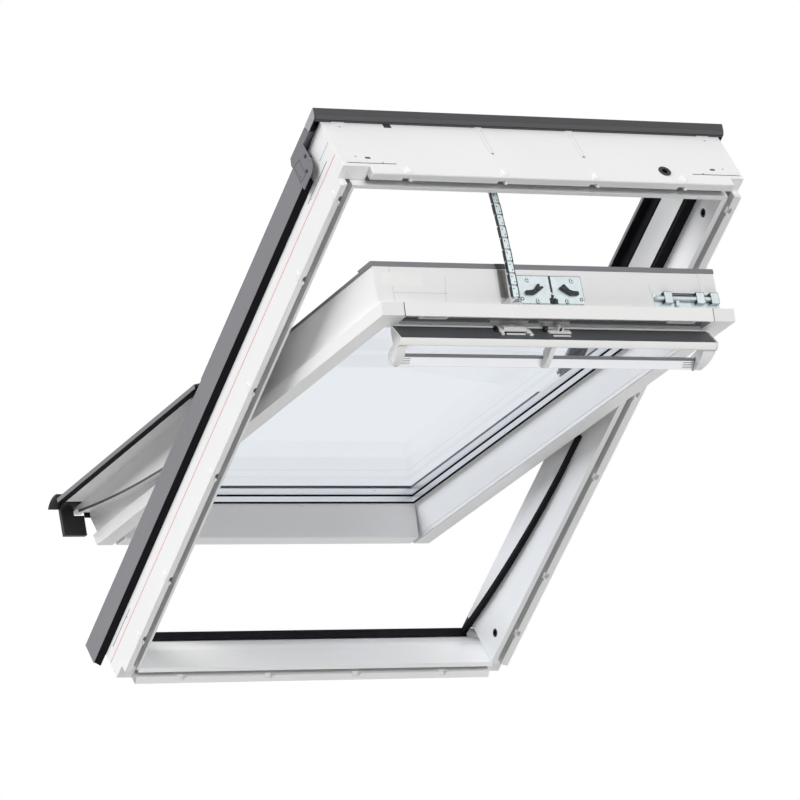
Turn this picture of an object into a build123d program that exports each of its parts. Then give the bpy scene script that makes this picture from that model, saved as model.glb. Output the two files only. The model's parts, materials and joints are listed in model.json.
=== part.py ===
from build123d import *
import math
import os

os.makedirs("parts", exist_ok=True)

# Centre-pivot roof window, sash swung open. Millimetres.
# X runs to the right as seen from the room, Y outward through the roof, Z up the slope.
# The origin is the middle of the frame's bottom outer face, level with its corner blocks.

# Driving dimensions of the fixed frame
HALF_W = 390.0  # half the outer width
HEIGHT = 1178.0  # outer height up the slope
CLEAR_X = 358.6  # half the clear width between the jambs
CLEAR_TOP = 1137.0  # underside of the top member
CLEAR_BOT = 32.0  # top of the bottom member's inner lip
BACK_Y = 110.0  # outdoor face of the jambs
CLAD_X = 400.0  # outer face of the side claddings
UPPER_Z = 626.0  # the jambs grow a sloped rebate above this height

# Driving dimensions of the sash, measured with the sash closed
PIVOT_Y, PIVOT_Z = 125.7, 589.0
OPEN_DEG = 26.2  # how far the sash stands open
BODY_X = 332.5  # half width of the sash body, upper half
FLANGE_X = 342.5  # half width of the flange on the room side
WIDE_X = 355.0  # half width of the lower half, outside the seal
FLANGE_Y0, FLANGE_Y1 = 28.5, 50.8
SASH_TOP = 1108.0
FLANGE_TOP = 1133.0
RAIL_X = 301.0  # joint between the top rail and the stiles
BEAD_Y0, PANE_Y = 91.2, 107.0
PANE_T, GAP_T = 4.0, 12.0
PANE_X, PANE_Z0, PANE_Z1 = 320.0, 55.0, 1090.0

# Ventilation flap with its control bar
FLAP_Y, FLAP_Z = 27.3, 1089.2  # hinge line of the flap
FLAP_BAR_HALF = 287.6

SIDES = ((-1, "left"), (1, "right"))
PIVOT = Axis((0, PIVOT_Y, PIVOT_Z), (1, 0, 0))


def across(points, x0, x1, mode=Mode.ADD):
    """A (y, z) outline carried along X."""
    x0, x1 = min(x0, x1), max(x0, x1)
    with BuildSketch(Plane.YZ.offset(x0)) as outline:
        Polygon(*points, align=None)
    extrude(outline.sketch, amount=x1 - x0, mode=mode)


def upward(points, z0, z1, mode=Mode.ADD):
    """An (x, y) outline carried along Z."""
    with BuildSketch(Plane.XY.offset(z0)) as outline:
        Polygon(*points, align=None)
    extrude(outline.sketch, amount=z1 - z0, mode=mode)


def outward(points, y0, y1, mode=Mode.ADD):
    """An (x, z) outline carried along Y."""
    with BuildSketch(Plane.XZ.offset(-y0)) as outline:
        Polygon(*points, align=None)
    extrude(outline.sketch, amount=-(y1 - y0), mode=mode)


def brick(x0, x1, y0, y1, z0, z1, mode=Mode.ADD):
    upward([(x0, y0), (x1, y0), (x1, y1), (x0, y1)], z0, z1, mode)


def rod(plane, radius, length, mode=Mode.ADD):
    with BuildSketch(plane) as outline:
        Circle(radius)
    extrude(outline.sketch, amount=length, mode=mode)


def side(s, points):
    return [(s * x, y) for x, y in points]


def ring(outer, inner, y0, y1):
    """A rectangular frame in XZ: outer and inner are (half x, z0, z1)."""
    for (hx, z0, z1), mode in ((outer, Mode.ADD), (inner, Mode.SUBTRACT)):
        brick(-hx, hx, y0, y1, z0, z1, mode)


def finish(builder, name, on_sash=False):
    piece = builder.part.rotate(PIVOT, OPEN_DEG) if on_sash else builder.part
    piece.label = name
    export_step(piece, "parts/" + name + ".step")


# The fixed frame's members meet at mitres that run from the outer corners through the inner ones.
bot_slope = CLEAR_BOT / (HALF_W - CLEAR_X)
top_slope = (HEIGHT - CLEAR_TOP) / (HALF_W - CLEAR_X)


def mitre(x):
    return bot_slope * (HALF_W - x), HEIGHT - top_slope * (HALF_W - x)


LOW_OUT, HIGH_OUT = mitre(402)
LOW_IN, HIGH_IN = mitre(330)
# a member is its body and two lips with the lining groove between them; the body is
# 0.4 mm narrower under the claddings
LIP_Y = 1.98
JAMB = [(390, 2), (390, 56.6), (389.6, 56.6), (389.6, BACK_Y), (CLEAR_X, BACK_Y), (CLEAR_X, 2)]
JAMB_LIPS = ([(390, -15.6), (388.5, -17), (377, -13), (377, LIP_Y), (390, LIP_Y)],
             [(366, LIP_Y), (366, -12), (CLEAR_X, -8.5), (CLEAR_X, LIP_Y)])
JAMB_REBATE = [(CLEAR_X, 72), (337, BACK_Y), (CLEAR_X, BACK_Y)]
# size of the corner blocks (inner edge in X, bottom or top edge in Z)
BLOCK_TOP_X = {-1: 340.0, 1: 362.6}
BLOCK_TOP_Z, BLOCK_BOT_X, BLOCK_BOT_Z = 1150.0, 360.0, 30.0
BLOCK_DEPTH = 14.0
FIXING_X, FIXING_Z = 375.0, (23.2, 1164.0)  # screw holes in the corner blocks
BUSHES = ((20.0, 1083.7), (19.2, 78.6))


# clips in the lining groove, with a notch in the outer lip beside each
CLIP_Z = (108, 252, 496, 693, 942, 1117)
CLIP_X_BOT = (-272, -96, 82, 261)
CLIP_X_TOP = (-273, -91, 88, 262)
NOTCH = 6.5  # half the length of a notch


def cut_corners(s, room=Mode.SUBTRACT):
    brick(*sorted((s * BLOCK_TOP_X[s], s * 391)), -20, BLOCK_DEPTH, BLOCK_TOP_Z, HEIGHT + 1, room)
    brick(*sorted((s * BLOCK_BOT_X, s * 391)), -20, BLOCK_DEPTH, -1, BLOCK_BOT_Z, room)


for s, word in SIDES:
    with BuildPart() as jamb:
        upward(side(s, JAMB), 0, HEIGHT)
        for lip in JAMB_LIPS:
            upward(side(s, lip), 0, HEIGHT)
        upward(side(s, JAMB_REBATE), UPPER_Z, HEIGHT)
        outward(side(s, [(402, LOW_OUT), (402, HIGH_OUT), (330, HIGH_IN), (330, LOW_IN)]), -30, 130,
                Mode.INTERSECT)
        cut_corners(s)
        for y, z in BUSHES:
            rod(Plane((s * (CLEAR_X - 1), y, z), x_dir=(0, 1, 0), z_dir=(s, 0, 0)), 8.0, 15, Mode.SUBTRACT)
        for z in CLIP_Z:
            brick(*sorted((s * 376, s * 383.5)), -18, -7, z - NOTCH, z + NOTCH, Mode.SUBTRACT)
    finish(jamb, "frame_" + word)

with BuildPart() as top:
    across([(2, HEIGHT), (2, CLEAR_TOP), (72, CLEAR_TOP), (BACK_Y, 1112.4), (BACK_Y, HEIGHT)], -390, 390)
    across([(-15.6, HEIGHT), (-17, 1176.5), (-13, 1160.5), (LIP_Y, 1160.5), (LIP_Y, HEIGHT)], -390, 390)
    across([(LIP_Y, 1147), (-12, 1147), (-8.5, CLEAR_TOP), (LIP_Y, CLEAR_TOP)], -390, 390)
    outward([(-402, HIGH_OUT), (402, HIGH_OUT), (330, HIGH_IN), (-330, HIGH_IN)], -30, 130, Mode.INTERSECT)
    for s in (-1, 1):
        cut_corners(s)
    # drive housing, open to the back, with the chain outlet and the cable duct
    brick(-250, 260, 34, BACK_Y + 1, 1143, 1172, Mode.SUBTRACT)
    brick(-100, -76, 12, 68, 1130, 1160, Mode.SUBTRACT)
    brick(-100, -76, 3, 13, 1130, 1145, Mode.SUBTRACT)
    brick(229, 243, 6, 40, 1152, 1166, Mode.SUBTRACT)
    rod(Plane.XY.offset(1160).move(Location((236, 13, 0))), 10.0, 20, Mode.SUBTRACT)
    for x in CLIP_X_TOP:
        brick(x - NOTCH, x + NOTCH, -18, -7, 1160, 1168.5, Mode.SUBTRACT)
    # recess for the lock keeper
    brick(-64, 68, 76, 104, 1110, 1139.4, Mode.SUBTRACT)
finish(top, "frame_top")

with BuildPart() as bottom:
    across([(2, 0), (2, 31.73), (31, 31), (44, 25), (80, 7), (85, 3), (107.5, 3), (107.5, 0)], -390, 390)
    across([(-15.6, 0), (-17, 1.5), (-13, 13.2), (LIP_Y, 13.2), (LIP_Y, 0)], -390, 390)
    across([(LIP_Y, 24.5), (-12, 24.5), (-8.5, CLEAR_BOT), (LIP_Y, 31.73)], -390, 390)
    outward([(-402, LOW_OUT), (402, LOW_OUT), (330, LOW_IN), (-330, LOW_IN)], -30, 130, Mode.INTERSECT)
    for s in (-1, 1):
        cut_corners(s)
    for x in CLIP_X_BOT:
        brick(x - NOTCH, x + NOTCH, -18, -7, 6.5, 14, Mode.SUBTRACT)
finish(bottom, "frame_bottom")

with BuildPart() as blocks:
    for s in (-1, 1):
        brick(*sorted((s * (BLOCK_TOP_X[s] + 0.1), s * HALF_W)), 0, BLOCK_DEPTH, BLOCK_TOP_Z + 0.1, HEIGHT)
        brick(*sorted((s * (BLOCK_BOT_X + 0.1), s * HALF_W)), 0, BLOCK_DEPTH, 0, BLOCK_BOT_Z - 0.1)
        for z in FIXING_Z:
            rod(Plane((s * FIXING_X, -1, z), x_dir=(1, 0, 0), z_dir=(0, 1, 0)), 2.6, 12, Mode.SUBTRACT)
finish(blocks, "corner_blocks")

# black seals the sash closes on; below the pivot they follow the sash's slanted rebate
with BuildPart() as seal:
    for s in (-1, 1):
        upward(side(s, [(CLEAR_X - 0.05, 47), (343.6, 51.4), (338, 51.8), (338, 66), (CLEAR_X - 0.05, 71.8)]),
               632, 1117)
        with BuildSketch(Plane.YZ.offset(min(s * 345, s * (CLEAR_X - 0.05)))) as strip:
            with BuildLine():
                outer = ThreePointArc((49.4, 452), (58.4, 300), (98, 13.5))
                Line(outer @ 1, (84, 13.5))
                inner = ThreePointArc((84, 13.5), (47.6, 300), (40.6, 452))
                Polyline(inner @ 1, (40.6, 540), (49.4, 540), outer @ 0)
            make_face()
        extrude(strip.sketch, amount=CLEAR_X - 0.05 - 345)
    across([(51.4, CLEAR_TOP - 0.05), (51.4, 1121), (60, 1119.5), (68, 1124), (68, CLEAR_TOP - 0.05)], -330, -101)
    across([(51.4, CLEAR_TOP - 0.05), (51.4, 1121), (60, 1119.5), (68, 1124), (68, CLEAR_TOP - 0.05)], -75, 330)
finish(seal, "sash_seal")

with BuildPart() as sill_seal:
    across([(86, 3.05), (84.5, 5), (86.5, 7.2), (104.5, 7.2), (107, 5), (107, 3.05)], -343, 343)
finish(sill_seal, "sill_seal")

# bushes for the barrel bolt, and the plugs in the lining groove
with BuildPart() as bushes:
    for s in (-1, 1):
        for y, z in BUSHES:
            rod(Plane((s * (CLEAR_X + 0.1), y, z), x_dir=(0, 1, 0), z_dir=(s, 0, 0)), 8.0, 13)
            rod(Plane((s * (CLEAR_X - 1), y, z), x_dir=(0, 1, 0), z_dir=(s, 0, 0)), 5.0, 12, Mode.SUBTRACT)
finish(bushes, "bolt_bushes")

with BuildPart() as clips:
    for s in (-1, 1):
        for z in CLIP_Z:
            rod(Plane((s * 371.5, 1.95, z), x_dir=(1, 0, 0), z_dir=(0, -1, 0)), 4.4, 3.0)
    for x in CLIP_X_BOT:
        rod(Plane((x, 1.95, 18.9), x_dir=(1, 0, 0), z_dir=(0, -1, 0)), 4.4, 3.0)
    for x in CLIP_X_TOP:
        rod(Plane((x, 1.95, 1153.8), x_dir=(1, 0, 0), z_dir=(0, -1, 0)), 4.4, 3.0)
finish(clips, "lining_clips")

with BuildPart() as grommet:
    rod(Plane.XY.offset(1166).move(Location((236, 13, 0))), 9.95, 12)
    rod(Plane.XY.offset(1178).move(Location((236, 13, 0))), 11.5, 1.2)
    rod(Plane.XY.offset(1165).move(Location((236, 13, 0))), 5.5, 15, Mode.SUBTRACT)
finish(grommet, "cable_grommet")

# outdoor claddings of the frame
with BuildPart() as claddings:
    for s in (-1, 1):
        upward(side(s, [(CLAD_X, 66.6), (CLAD_X, 111.6), (398.6, 111.6), (398.6, 66.6)]), -30, 1094)
        upward(side(s, [(398.7, 110.1), (398.7, 111.6), (360, 111.6), (360, 110.1)]), 2, 1094)
finish(claddings, "side_claddings")

with BuildPart() as covers:
    for s in (-1, 1):
        upward(side(s, [(CLAD_X, 111.7), (CLAD_X, 113.2), (323.2, 141.2), (321.5, 141.2), (321.5, 135.4),
                        (322.9, 135.4), (322.9, 139.6), (397.0, 111.7)]), 604, 1094)
finish(covers, "upper_claddings")

# corner caps over the ends of the side claddings
CAP_SCREWS = ((72, 1104), (92, 1119))
with BuildPart() as caps:
    for s in (-1, 1):
        with BuildSketch(Plane.YZ.offset(min(s * 400.1, s * 401.5))) as plate:
            with BuildLine():
                turn = ThreePointArc((57.2, 1108), (61.5, 1121.5), (76, 1127))
                Polyline(turn @ 1, (112, 1127), (112, 1151.5), (127.6, 1151.5), (128.4, 1083), (118, 1076), (57.2, 1076),
                         turn @ 0)
            make_face()
        extrude(plate.sketch, amount=1.4)
        upward(side(s, [(401.5, 111.5), (401.5, 113.6), (323.6, 142.6), (320.0, 142.6), (320.0, 141.4),
                        (323.2, 141.4), (398.9, 113.3), (398.9, 111.5)]), 1094.6, 1151.5)
        for y, z in CAP_SCREWS:
            rod(Plane((s * 396, y, z), x_dir=(0, 1, 0), z_dir=(s, 0, 0)), 1.5, 8, Mode.SUBTRACT)
finish(caps, "hood_caps")

with BuildPart() as strips:
    for s in (-1, 1):
        upward(side(s, [(390.05, 57.6), (399.9, 66.5), (398.5, 66.5), (398.5, 80), (390.05, 80)]), -28, 1093)
        # fills the room between the sloped rebate and the upper cladding
        upward(side(s, [(337.4, 110.15), (335.2, 112.5), (335.0, 133.7), (325, 134.4), (323.1, 136),
                        (323.1, 139.2), (390, 114.0), (390, 111.8), (359.8, 111.8),
                        (359.8, 110.15)]), 626.2, 1093.5)
finish(strips, "flashing_seals")

with BuildPart() as hood:
    # ridge over the full width; behind it the hood falls steeply and is narrower
    across([(112, 1181.5), (117, 1186.7), (128.4, 1192.3), (129.6, 1191.2), (129.6, 1189.4), (128.4, 1190.7),
            (117.8, 1185.4), (113, 1180.5)], -400.3, 400.3)
    across([(128.4, 1192.3), (147, 1174.8), (147, 1108), (145.6, 1108), (145.6, 1174.2), (128.4, 1190.4)], -384, 384)
    for s in (-1, 1):
        across([(112, 1152.2), (112, 1181.5), (117, 1186.7), (128.4, 1192.3), (129.6, 1191.2), (129.6, 1152.2)],
               s * 398.9, s * 400.3)
        across([(128.2, 1152.2), (128.2, 1191), (146.8, 1174.6), (146.8, 1152.2)], s * 382.6, s * 384)
        brick(*sorted((s * 382.6, s * 400.3)), 128.2, 129.6, 1152.2, 1191)
    across([(110.1, 1178.1), (110.1, 1179.5), (113.6, 1181.4), (114.6, 1180.4), (111.5, 1178.1)], -398.9, 398.9)
finish(hood, "hood")

with BuildPart() as hood_screws:
    for s in (-1, 1):
        for y, z in CAP_SCREWS:
            rod(Plane((s * 401.55, y, z), x_dir=(0, 1, 0), z_dir=(s, 0, 0)), 3.0, 1.4)
            rod(Plane((s * 390.1, y, z), x_dir=(0, 1, 0), z_dir=(s, 0, 0)), 1.4, 11.5)
finish(hood_screws, "hood_screws")

# chain drive inside the top member
with BuildPart() as case:
    brick(-248, 258, 36, 103, 1144, 1171)
    brick(-246, 256, 38, 104, 1146, 1169, Mode.SUBTRACT)
    brick(-102, -74, 30, 70, 1143, 1162, Mode.SUBTRACT)
    rod(Plane((236, 30, 1159), x_dir=(1, 0, 0), z_dir=(0, 1, 0)), 5.5, 12, Mode.SUBTRACT)
finish(case, "drive_case")

with BuildPart() as case_lid:
    brick(-249.5, 259.5, 103.1, 105, 1143.5, 1171.5)
finish(case_lid, "drive_cover")

with BuildPart() as motor:
    rod(Plane((-30, 84, 1157.5), x_dir=(0, 1, 0), z_dir=(1, 0, 0)), 10.5, 190)
    rod(Plane((-72, 84, 1157.5), x_dir=(0, 1, 0), z_dir=(1, 0, 0)), 2.5, 43)
finish(motor, "drive_motor")

SPROCKET = (84.0, 1157.5)
with BuildPart() as sprocket:
    plane = Plane((-94, *SPROCKET), x_dir=(0, 1, 0), z_dir=(1, 0, 0))
    with BuildSketch(plane) as disc:
        Circle(10.0)
        with PolarLocations(10.6, 8):
            Circle(3.0, mode=Mode.SUBTRACT)
        Circle(2.55, mode=Mode.SUBTRACT)
    extrude(disc.sketch, amount=12)
finish(sprocket, "drive_sprocket")

with BuildPart() as board:
    brick(176, 252, 44, 98, 1148, 1149.6)
    for x, y in ((186, 56), (206, 56), (226, 60)):
        brick(x, x + 13, y, y + 18, 1149.6, 1158)
finish(board, "control_board")

with BuildPart() as guide:
    for x in (-103.5, -73.5):
        brick(x, x + 1.8, 38.2, 72, 1146.2, 1168)
    brick(-101.7, -73.5, 38.2, 72, 1166.4, 1168)
finish(guide, "chain_guide")

with BuildPart() as keeper:
    across([(76.3, 1134.5), (103.7, 1116.8), (103.7, 1139.2), (76.3, 1139.2)], -63.7, 67.7)
    for x0, x1 in ((-52, -16), (20, 56)):
        brick(x0, x1, 80, 99, 1110, 1134, Mode.SUBTRACT)
finish(keeper, "lock_keeper")

# pivots
with BuildPart() as pins:
    for s in (-1, 1):
        rod(Plane((s * 337.2, PIVOT_Y, PIVOT_Z), x_dir=(0, 1, 0), z_dir=(s, 0, 0)), 5.0, 21.2)
finish(pins, "hinge_pins")

with BuildPart() as plates:
    for s in (-1, 1):
        brick(*sorted((s * 355.9, s * 358.4)), 78, 112, 556, 621)
        with BuildSketch(Plane.YZ.offset(min(s * 355.9, s * 358.4))) as ear:
            Polygon((110, 566), (110, 610), (PIVOT_Y + 2, PIVOT_Z + 12), (PIVOT_Y + 2, PIVOT_Z - 12), align=None)
            with Locations((PIVOT_Y, PIVOT_Z)):
                Circle(12.0)
        extrude(ear.sketch, amount=2.5)
        rod(Plane((s * 350, PIVOT_Y, PIVOT_Z), x_dir=(0, 1, 0), z_dir=(s, 0, 0)), 5.0, 12, Mode.SUBTRACT)
        for y, z in ((88, 564), (88, 613), (102, 613)):
            rod(Plane((s * 350, y, z), x_dir=(0, 1, 0), z_dir=(s, 0, 0)), 2.4, 12, Mode.SUBTRACT)
finish(plates, "frame_hinges")

with BuildPart() as arms:
    for s in (-1, 1):
        brick(*sorted((s * 332.6, s * 337.0)), 88, 118, 557, 621)
        with BuildSketch(Plane.YZ.offset(min(s * 332.6, s * 337.0))) as ear:
            Polygon((116, 568), (116, 606), (PIVOT_Y, PIVOT_Z + 11), (PIVOT_Y, PIVOT_Z - 11), align=None)
            with Locations((PIVOT_Y, PIVOT_Z)):
                Circle(11.0)
        extrude(ear.sketch, amount=4.4)
        rod(Plane((s * 330, PIVOT_Y, PIVOT_Z), x_dir=(0, 1, 0), z_dir=(s, 0, 0)), 5.05, 12, Mode.SUBTRACT)
        for z in (566, 611):
            rod(Plane((s * 330, 98, z), x_dir=(0, 1, 0), z_dir=(s, 0, 0)), 2.4, 12, Mode.SUBTRACT)
finish(arms, "sash_hinges", on_sash=True)

# the sash, drawn closed
STILE = [(FLANGE_X, FLANGE_Y0), (311, FLANGE_Y0), (311, 30.2), (309.6, 30.2), (309.6, 36.6), (309, 36.6),
         (303.5, 90), (303.5, PANE_Y - 0.1), (322, PANE_Y - 0.1), (322, 124), (BODY_X, 124), (BODY_X, FLANGE_Y1),
         (FLANGE_X, FLANGE_Y1)]
STILE_HEAD = [(FLANGE_X, FLANGE_Y0), (RAIL_X, FLANGE_Y0), (RAIL_X, FLANGE_Y1 + 0.2), (322, FLANGE_Y1 + 0.2),
              (FLANGE_X, FLANGE_Y1)]
RAIL_Z = 1078.0  # lower edge of the top rail
SLANT = [(-20, -60), (-20, 36.5), (28.4, 36.5), (60, 26), (89, 12), (113, 12), (113, 31), (140, 31), (140, -60)]

for s, word in SIDES:
    with BuildPart() as stile:
        upward(side(s, STILE), 5, RAIL_Z)
        brick(*sorted((s * RAIL_X, s * BODY_X)), FLANGE_Y1, PANE_Y - 0.1, RAIL_Z, SASH_TOP)
        brick(*sorted((s * 322, s * BODY_X)), PANE_Y - 0.2, 124, RAIL_Z, SASH_TOP)
        brick(*sorted((s * RAIL_X, s * 322.5)), PANE_Y - 0.2, 124, 1092, SASH_TOP)
        brick(*sorted((s * RAIL_X, s * FLANGE_X)), FLANGE_Y0, FLANGE_Y1, RAIL_Z, FLANGE_TOP)
        # the top edge of the flange falls a little towards the room
        across([(27, 1130.5), (28.5, 1130.5), (51, FLANGE_TOP), (51, 1140), (27, 1140)], s * 300, s * 344, Mode.SUBTRACT)
        across(SLANT, s * 300, s * 344, Mode.SUBTRACT)
        # wider lower half, outside the slanted seal
        with BuildSketch(Plane.YZ.offset(min(s * BODY_X, s * WIDE_X))) as wide:
            with BuildLine():
                edge = ThreePointArc((51.2, 450), (60.2, 300), (100, 12))
                Polyline(edge @ 1, (108.3, 10.5), (108.3, -24), (114, -24), (113, 31), (118, 31), (118, 548), (51.2, 548),
                         edge @ 0)
            make_face()
        extrude(wide.sketch, amount=WIDE_X - BODY_X)
        # wing that carries the side cladding
        brick(*sorted((s * (WIDE_X - 1), s * 388)), 112.3, 118, 34, 540)
    finish(stile, "sash_" + word, on_sash=True)

with BuildPart() as rail:
    # flange part with the ventilation channel, then the body behind it
    across([(FLANGE_Y0, 1078), (FLANGE_Y0, 1130.5), (FLANGE_Y1, FLANGE_TOP), (FLANGE_Y1, SASH_TOP), (124, SASH_TOP),
            (124, 1092), (PANE_Y - 0.1, 1092), (PANE_Y - 0.1, 1073), (90, 1073), (36.6, 1077), (36.6, 1078)],
           -RAIL_X + 0.1, RAIL_X - 0.1)
    brick(-RAIL_X + 5, RAIL_X - 5, 27, 46, 1091.5, 1127, Mode.SUBTRACT)
    # slot for the air behind the filter, pocket for the lock, groove for the bolt
    brick(-260, -110, 45, 60, 1100, 1104, Mode.SUBTRACT)
    brick(100, 190, 45, 60, 1100, 1104, Mode.SUBTRACT)
    brick(-57, 61, 56, 104, 1089, 1109, Mode.SUBTRACT)
    brick(-16, 22, 45, 60, 1096, 1104, Mode.SUBTRACT)
finish(rail, "sash_top", on_sash=True)

with BuildPart() as rail:
    across([(FLANGE_Y0, 36.5), (FLANGE_Y0, 70), (30.2, 70), (30.2, 71.4), (36.6, 71.4), (90, 78), (PANE_Y - 0.1, 78),
            (PANE_Y - 0.1, 53), (118, 53), (118, 31), (113, 31), (113, 12), (89, 12), (60, 26)], -303.3, 303.3)
finish(rail, "sash_bottom", on_sash=True)

with BuildPart() as bead:
    ring((303.3, 78.2, 1072.8), (297.6, 84, 1067), BEAD_Y0, 105.6)
finish(bead, "glazing_bead", on_sash=True)

with BuildPart() as gasket:
    ring((303.3, 78.2, 1072.8), (296.6, 85, 1066), 105.7, 106.9)
finish(gasket, "glazing_gasket", on_sash=True)

with BuildPart() as pane:
    brick(-PANE_X, PANE_X, PANE_Y, PANE_Y + PANE_T, PANE_Z0, PANE_Z1)
finish(pane, "inner_pane", on_sash=True)

with BuildPart() as spacer:
    ring((314, 62, 1084), (303, 73, 1073), PANE_Y + PANE_T, PANE_Y + PANE_T + GAP_T)
finish(spacer, "pane_spacer", on_sash=True)

with BuildPart() as pane:
    brick(-PANE_X, PANE_X, PANE_Y + PANE_T + GAP_T, PANE_Y + 2 * PANE_T + GAP_T, PANE_Z0, PANE_Z1)
finish(pane, "outer_pane", on_sash=True)

# outdoor claddings of the sash
for s, word in SIDES:
    with BuildPart() as cladding:
        upward(side(s, [(402, 113), (402, 120.5), (359, 128.9), (359, 127.5), (400.6, 119.4), (400.6, 113)]), 28, 586)
        upward(side(s, [(359.2, 127.5), (359.2, 128.9), (306, 128.9), (306, 127.1), (322, 127.1)]), 60.1, 548)
        upward(side(s, [(359.2, 118.1), (359.2, 127.6), (340, 127.6), (340, 118.1)]), 60.1, 540)
    finish(cladding, "sash_cladding_" + word, on_sash=True)

with BuildPart() as strips:
    for s in (-1, 1):
        upward(side(s, [(400.4, 112.3), (400.4, 119.1), (388.2, 121.5), (388.2, 112.3)]), 34, 574)
finish(strips, "sash_side_seals", on_sash=True)

with BuildPart() as cladding:
    across([(124.1, 1093), (124.1, SASH_TOP + 0.4), (133, SASH_TOP + 0.4), (133, 1064), (131.6, 1064), (127.2, 1068),
            (127.2, 1090.1), (127.2, 1093)], -334, 334)
    for s in (-1, 1):
        brick(*sorted((s * 306, s * 334)), 127.2, 129, 625, 1070)
        brick(*sorted((s * 322.2, s * 334)), 124.1, 127.3, 625, 1094)
finish(cladding, "sash_cladding_top", on_sash=True)

with BuildPart() as cladding:
    with BuildSketch(Plane.YZ.offset(-402)) as profile:
        with BuildLine():
            outer = ThreePointArc((129, 28), (126.0, 3), (115.2, -12.6))
            Polyline(outer @ 1, (113.8, -11.8))
            inner = ThreePointArc((113.8, -11.8), (124.6, 3.6), (127.5, 27.8))
            Polyline(inner @ 1, (127.5, 60), (129, 60), outer @ 0)
        make_face()
    extrude(profile.sketch, amount=804)
    # the middle stays over the glass edge, the ends close the side claddings
    brick(-306, 306, 127.1, 129, 60, 72)
    for s in (-1, 1):
        brick(*sorted((s * 355.9, s * 403)), 110, 131, 27.9, 61, Mode.SUBTRACT)
finish(cladding, "sash_cladding_bottom", on_sash=True)

with BuildPart() as skirt:
    across([(113.2, -12.2), (109, -14.4), (99, -14.4), (99, -11.9), (108, -11.9), (112, -9), (118.3, 28), (118.3, 30.8),
            (121, 30.8), (121.0, 4)], -331, 331)
finish(skirt, "bottom_skirt", on_sash=True)

with BuildPart() as ends:
    for s in (-1, 1):
        across([(62, -12), (62, -2.4), (107.9, -2.4), (111.9, -2), (112.1, 27), (119.6, 27), (120.6, 4),
                (113.4, -11.6), (99, -12)], s * 357, s * 382)
        brick(*sorted((s * 337, s * 357.5)), 62, 99, -12, -2.4)
finish(ends, "skirt_ends", on_sash=True)

# lock, bolt and chain bracket
CLAW = (("left", -30.0, 84.0, 1), ("right", 34.0, 84.0, -1))
with BuildPart() as plate:
    brick(-61, 65, 63.5, 113, SASH_TOP + 0.05, SASH_TOP + 1.6)
    brick(0.8, 5.2, 83, 112.2, SASH_TOP - 1, SASH_TOP + 3, Mode.SUBTRACT)
    brick(-4, 12, 63, 73, SASH_TOP - 1, SASH_TOP + 3, Mode.SUBTRACT)
    for word, x, y, s in CLAW:
        rod(Plane.XY.offset(SASH_TOP - 1).move(Location((x, y, 0))), 3.05, 4, Mode.SUBTRACT)
    for x, y in ((-40.5, 104.8), (45.6, 104.7), (-27, 67.4), (30, 67.5)):
        rod(Plane.XY.offset(SASH_TOP - 1).move(Location((x, y, 0))), 2.2, 4, Mode.SUBTRACT)
finish(plate, "lock_plate", on_sash=True)

with BuildPart() as case:
    brick(-56, 60, 62, 103, 1090, 1107.9)
    brick(-54, 58, 64, 101, 1092, 1110, Mode.SUBTRACT)
    brick(-15, 21, 60, 66, 1096, 1104, Mode.SUBTRACT)
finish(case, "lock_case", on_sash=True)

with BuildPart() as screws:
    for x, y in ((-40.5, 104.8), (45.6, 104.7), (-27, 67.4), (30, 67.5)):
        rod(Plane.XY.offset(SASH_TOP + 1.65).move(Location((x, y, 0))), 3.6, 1.3)
        rod(Plane.XY.offset(SASH_TOP + 0.0).move(Location((x, y, 0))), 2.1, 1.7)
finish(screws, "lock_screws", on_sash=True)

for word, x, y, s in CLAW:
    with BuildPart() as claw:
        rod(Plane.XY.offset(1094).move(Location((x, y, 0))), 3.0, 16.2)
        with BuildSketch(Plane.XY.offset(SASH_TOP + 1.8)) as hook:
            with BuildLine():
                Polyline((x - 19 * s, y - 5.5), (x - 19 * s, y + 0.5), (x - 8 * s, y + 1.5), (x - 2 * s, y + 3.5),
                         (x + 6 * s, y + 13), (x + 9.5 * s, y + 12), (x + 8.5 * s, y + 8), (x + 15 * s, y + 8.5),
                         (x + 15.5 * s, y + 5.5), (x + 5 * s, y - 1.5), (x - 4 * s, y - 6.5), (x - 19 * s, y - 5.5))
            make_face()
        extrude(hook.sketch, amount=4.5)
    finish(claw, "lock_claw_" + word, on_sash=True)

BOLT_Y, BOLT_Z = 75.3, SASH_TOP + 4.9
with BuildPart() as bolt_base:
    brick(202, 327.5, 60.5, 87, SASH_TOP + 0.05, SASH_TOP + 1.3)
    for x0, x1 in ((219, 235), (283, 299), (312, 327.5)):
        brick(x0, x1, 66.3, 85.5, SASH_TOP + 1.0, SASH_TOP + 9.9)
    rod(Plane((200, BOLT_Y, BOLT_Z), x_dir=(0, 1, 0), z_dir=(1, 0, 0)), 4.62, 130, Mode.SUBTRACT)
    for x, y in ((209, 83), (259, 83), (305.5, 83)):
        rod(Plane.XY.offset(SASH_TOP - 1).move(Location((x, y, 0))), 1.9, 4, Mode.SUBTRACT)
finish(bolt_base, "bolt_base", on_sash=True)

with BuildPart() as bolt:
    rod(Plane((205.7, BOLT_Y, BOLT_Z), x_dir=(0, 1, 0), z_dir=(1, 0, 0)), 4.57, 123.3)
    brick(242.5, 248.5, 61.5, 73, BOLT_Z - 2, BOLT_Z + 2)
finish(bolt, "barrel_bolt", on_sash=True)

with BuildPart() as bracket:
    brick(-97, -79, 51.2, 53.2, 1108.1, 1135.6)
    brick(-97, -79, 51.2, 72, 1108.1, 1110.1)
    for x0, x1 in ((-97, -95.4), (-80.6, -79)):
        brick(x0, x1, 51.2, 63, 1108.1, 1135.6)
finish(bracket, "chain_bracket", on_sash=True)

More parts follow.
